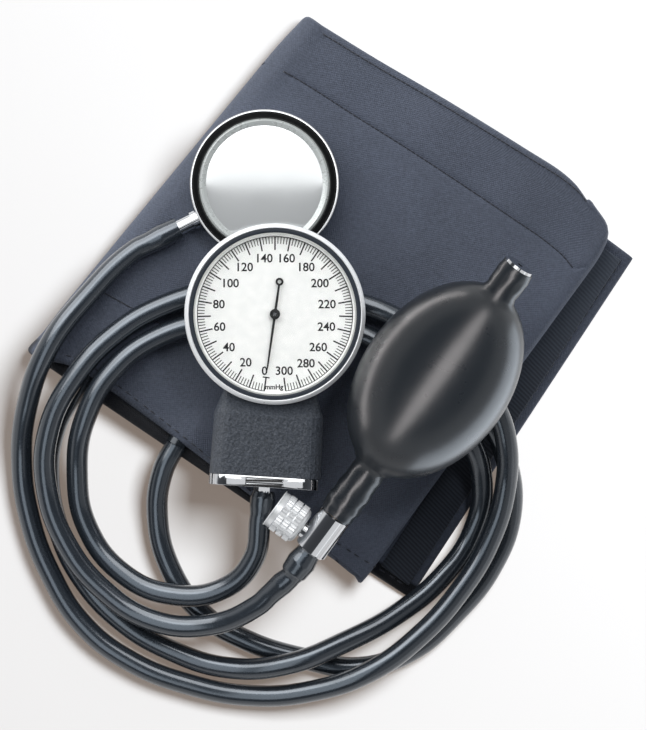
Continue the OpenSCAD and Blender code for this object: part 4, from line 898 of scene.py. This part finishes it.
# Numbers of three digits sit further in at the sides, and the three crowded ones at the foot are shifted
SHIFTED = {0: (-0.8, -0.3), 280: (0.9, -0.3), 300: (0.4, -0.3)}
for value in range(0, FULL + 1, 20):
    turn = turn_of(value)
    reach = NUMBER_R + 0.1 - (1.35 * abs(math.sin(turn)) if value >= 100 else 0)
    shift = SHIFTED.get(value, (0, 0))
    word(str(value), NUMBER_HIGH, reach * math.sin(turn) + shift[0], NUMBER_R * math.cos(turn) + shift[1])
word("mmHg", UNIT_HIGH, -0.3, -23.2)
joined("scale_numbers")
dress(ink, "pointer")

# Movement: milled brass plates, pillars and gears, turned steel arbors, a blued hairspring and a brass
# bellows, all inside the case.

# Milled brass: warm yellow, satin from the cutter's marks.
brass, tree, shader = surface("milled_brass", "#c8a75c", Metallic=1.0, Roughness=0.3)
mottled(tree, shader, 1.43, 0.22, 0.4)

# Turned steel: cool grey and half bright.
steel, tree, shader = surface("turned_steel", "#b4b7bb", Metallic=1.0, Roughness=0.25)
mottled(tree, shader, 1.25, 0.18, 0.32)

# Blued steel: dark blue, and lighter in spots of 2 mm where the heat was greater.
blued, tree, shader = surface("blued_steel", "#3b4a78", Metallic=1.0, Roughness=0.25)
where = add(tree, "ShaderNodeTexCoord").outputs["Object"]
HEAT = 2.0 * MM
heat = add(tree, "ShaderNodeTexNoise", {"Vector": where, "Scale": 1 / HEAT})
shade = add(tree, "ShaderNodeValToRGB", {"Fac": heat.outputs["Fac"]},
            stops=[(0.3, "#33406c"), (0.7, "#4a5a8c")])
tree.links.new(shade.outputs["Color"], shader.inputs["Base Color"])
dress(brass, "lower_plate", "upper_plate", "movement_pillars", "hairspring_stud", "sector_gear",
      "bellows_head", "bellows", "bellows_base", "valve_spigot")
dress(steel, "movement_screws", "pointer_pinion", "sector_arbor", "push_rod", "inlet_ball",
      "outlet_ball", "valve_needle")
dress(blued, "hairspring")

# Bulb: moulded soft rubber, pushed over the air valve's spigot at one end and over the inlet valve's
# plug at the other, so that its necks show the barbs beneath.
BULB_HALF, BULB_R, BULB_AT, TIP_AT = 35.2, 23.7, 61.8, 107
NECK_END, PLUG_R, VALVE_NECK_R, TIP_NECK_R, WALL = 7.45, 4.0, 5.6, 5.3, 2.4
# Where the spigot's barbs lie under the neck, how far they reach along it, and how much they lift it
SPIGOT_BARBS = ((11.6, 1.7, 0.5), (16.5, 1.9, 0.45))
VALVE = Vector((-3, -71.9, 32.1))
BULB_WAY, BULB_RISE = math.radians(53.8), math.radians(12.9)
BULB_FRAME = (Matrix.Translation(VALVE * MM) @ Matrix.Rotation(BULB_WAY, 4, "Z")
              @ Matrix.Rotation(math.pi / 2 - BULB_RISE, 4, "Y"))


def bulb_radius(s, wall=0):
    """The bulb's radius at s from the valve: an ellipse that runs smoothly into its necks."""
    a, b = BULB_HALF - wall, BULB_R - wall
    body = b * math.sqrt(max(0, 1 - ((s - BULB_AT) / a) ** 2))
    if wall:
        return max(body, PLUG_R)
    if s < BULB_AT:
        neck = VALVE_NECK_R
    else:
        rest = max(0, s - BULB_AT - BULB_HALF) / (TIP_AT - BULB_AT - BULB_HALF)
        neck = TIP_NECK_R + 0.35 * math.sin(math.pi * rest)
    return (body ** 5 + neck ** 5) ** 0.2


outer = [NECK_END + (TIP_AT - NECK_END) * (1 - math.cos(math.pi * k / 56)) / 2 for k in range(57)]
inner = [BULB_AT + (BULB_HALF - WALL) * 0.985 * math.cos(math.pi * k / 20) for k in range(21)]
profile = [(PLUG_R, NECK_END)] + [(bulb_radius(s), s) for s in outer] + [(PLUG_R, TIP_AT)]
profile += [(bulb_radius(s, WALL), s) for s in inner] + [(PLUG_R, NECK_END)]
bulb = turned_piece("squeeze_bulb", profile, 64)
for vertex in bulb.data.vertices:
    s, r = vertex.co.z / MM, vertex.co.xy.length / MM
    if r < PLUG_R + 0.3:
        continue
    neck = (1 - ease(s, 20, 30)) * ease(s, NECK_END, NECK_END + 1)
    tip = ease(s, 97, 99) * (1 - ease(s, TIP_AT - 1.5, TIP_AT))
    barbs = sum(lift * math.exp(-((s - at) / half) ** 2) for at, half, lift in SPIGOT_BARBS)
    lump = noise.noise(vertex.co / MM * 0.35)
    push = neck * (barbs + 0.35 * lump) + tip * 0.3 * lump
    vertex.co.xy *= 1 + push / r
settle(bulb, BULB_FRAME)

# Moulded rubber: nearly black, smooth from its mould, with traces of talc that dull its sheen in patches.
bulb_rubber, tree, shader = surface("moulded_rubber", "#171b1f", Roughness=0.28, IOR=1.42)
talc = mottled(tree, shader, 7.7, 0.24, 0.33, detail=5.0)
bump = add(tree, "ShaderNodeBump", {"Height": talc, "Strength": 0.12, "Distance": 0.0004})
tree.links.new(bump.outputs["Normal"], shader.inputs["Normal"])
place(bulb, bulb_rubber, "bulb_rubber", "bulb")
dress(chrome, "inlet_valve", "valve_body", "valve_nipple")
dress(bright, "valve_knob")

# Table: a plain white sheet of matt paper. Where the camera or a mirror sees it, it glows a little, so
# that it is white and its shadows are soft and warm.
bpy.ops.object.select_all(action="DESELECT")
bpy.ops.mesh.primitive_plane_add(size=6, location=(0, 0, -0.0002))
floor = bpy.context.object
floor.name = "table_top"
tabletop, tree, shader = surface("table_paper", "#b4b8bb", Roughness=0.9, Specular_IOR_Level=0.0)
out = tree.nodes["Material Output"]
rays = add(tree, "ShaderNodeLightPath")
seen = add(tree, "ShaderNodeMath", {0: rays.outputs["Is Camera Ray"], 1: rays.outputs["Is Glossy Ray"]},
           operation="MAXIMUM")
seen = add(tree, "ShaderNodeMath", {0: seen.outputs[0], 1: rays.outputs["Is Transmission Ray"]},
           operation="MAXIMUM")
glow = add(tree, "ShaderNodeEmission", {"Color": hue("#7c6f65"), "Strength": seen.outputs[0]})
total = add(tree, "ShaderNodeAddShader", {0: shader.outputs[0], 1: glow.outputs[0]})
tree.links.new(total.outputs[0], out.inputs["Surface"])
floor.data.materials.append(tabletop)

# Light: a pale room with bright walls and a dim ceiling, a wide soft box on the upper left, and a lamp
# high on the upper right that throws the table's shadows down and to the left. The hoses, the valve and
# the bulb have panels of their own, and the metal has two overhead.
world = bpy.data.worlds.new("studio")
scene.world = world
world.use_nodes = True
tree = world.node_tree
backdrop = tree.nodes["Background"]
way = add(tree, "ShaderNodeTexCoord").outputs["Generated"]
up = add(tree, "ShaderNodeSeparateXYZ", {"Vector": way}).outputs["Z"]
walls = add(tree, "ShaderNodeValToRGB", {"Fac": up},
            stops=[(0.0, "#e6e6e6"), (1.0, "#3a3c3f"), (0.34, "#e2e3e4"), (0.5, "#505256")])
tree.links.new(walls.outputs["Color"], backdrop.inputs["Color"])
everything = [piece for piece in scene.objects if piece.type in ("MESH", "CURVE") and piece is not floor]


def soft_box(name, at, to, size, level, lit, long_side=(1, 0, 0), tint="#ffffff"):
    """A lamp panel that lights some pieces, at its distance, to that share of a plain level."""
    lamp = bpy.data.lights.new(name, "AREA")
    lamp.shape = "RECTANGLE"
    lamp.color = hue(tint)[:3]
    lamp.size, lamp.size_y = size
    at, to = Vector(at), Vector(to)
    lamp.energy = level * math.pi ** 2 * (at - to).length_squared
    panel = bpy.data.objects.new(name, lamp)
    back = (at - to).normalized()
    up = back.cross(Vector(long_side)).normalized()
    panel.matrix_world = Matrix.Translation(at) @ Matrix((up.cross(back), up, back)).transposed().to_4x4()
    panel.visible_camera = False
    scene.collection.objects.link(panel)
    reach = bpy.data.collections.new(name + "_reach")
    for piece in lit:
        reach.objects.link(piece)
    panel.light_linking.receiver_collection = reach
    return panel


MIDDLE = Vector((0, -0.02, 0))
hoses = [chest_line, bulb_line, gauge_line]
valve = [nodes["valve_body"], nodes["valve_nipple"], nodes["inlet_valve"]]
body = [piece for piece in everything if piece is not bulb and piece not in hoses + valve]
metal = [piece for piece in everything if piece.data.materials and piece.data.materials[0] in
         (chrome, satin, bright, film)]
soft_box("key", (-0.22, 0.29, 0.37), MIDDLE, (0.7, 0.55), 0.86, body)
soft_box("hose_key", MIDDLE + Vector((-0.22, 0.62, 0.6)), MIDDLE, (1.3, 0.9), 1.9, hoses)
soft_box("hose_fill", MIDDLE + Vector((0.5, -0.5, 0.5)), MIDDLE, (0.9, 0.9), 0.12, hoses)
soft_box("hose_side", MIDDLE + Vector((-0.3, 0, 0.75)), MIDDLE, (1.3, 0.42), 0.5, hoses, (0, 1, 0),
         "#edf7ff")
soft_box("table_lamp", (0.42, 0.34, 1.0), MIDDLE, (0.5, 0.5), 1.92, [floor])
# A small lamp gives the pieces' shadows on each other an edge, and no mirror shows it
side = soft_box("side_lamp", (0.36, 0.34, 1.0), MIDDLE, (0.16, 0.16), 0.16, everything)
side.visible_glossy = False
soft_box("overhead", (0, 0.363, 1.2), (0, 0.363, 0), (1.0, 0.6), 0.22, metal)
soft_box("ceiling", (0, 0, 3.0), (0, 0, 0), (1.6, 1.6), 0.07, [p for p in metal if p is not diaphragm])
BULB_TOP = Vector((0.0326, -0.0233, 0.0459))
axis = Vector((math.cos(BULB_WAY), math.sin(BULB_WAY), 0))
across = Vector((math.sin(BULB_WAY), -math.cos(BULB_WAY), 0))
upright = Vector((0, 0, 1))
soft_box("valve_side", VALVE * MM + (across + upright) * 0.2, VALVE * MM, (0.4, 0.22), 0.25, valve, axis)
soft_box("bulb_strip", BULB_TOP + upright * 0.35, BULB_TOP, (2.2, 0.14), 7.0, [bulb], axis, "#fff9f8")
soft_box("bulb_left", BULB_TOP - across * 0.06 - upright * 0.003, BULB_TOP + upright * 0.01,
         (0.2, 0.012), 1.2, [bulb], axis, "#fff8f7")
soft_box("bulb_right", BULB_TOP + across * 0.075 - upright * 0.029, BULB_TOP, (0.22, 0.07), 2.4, [bulb],
         axis, "#e7f3ff")
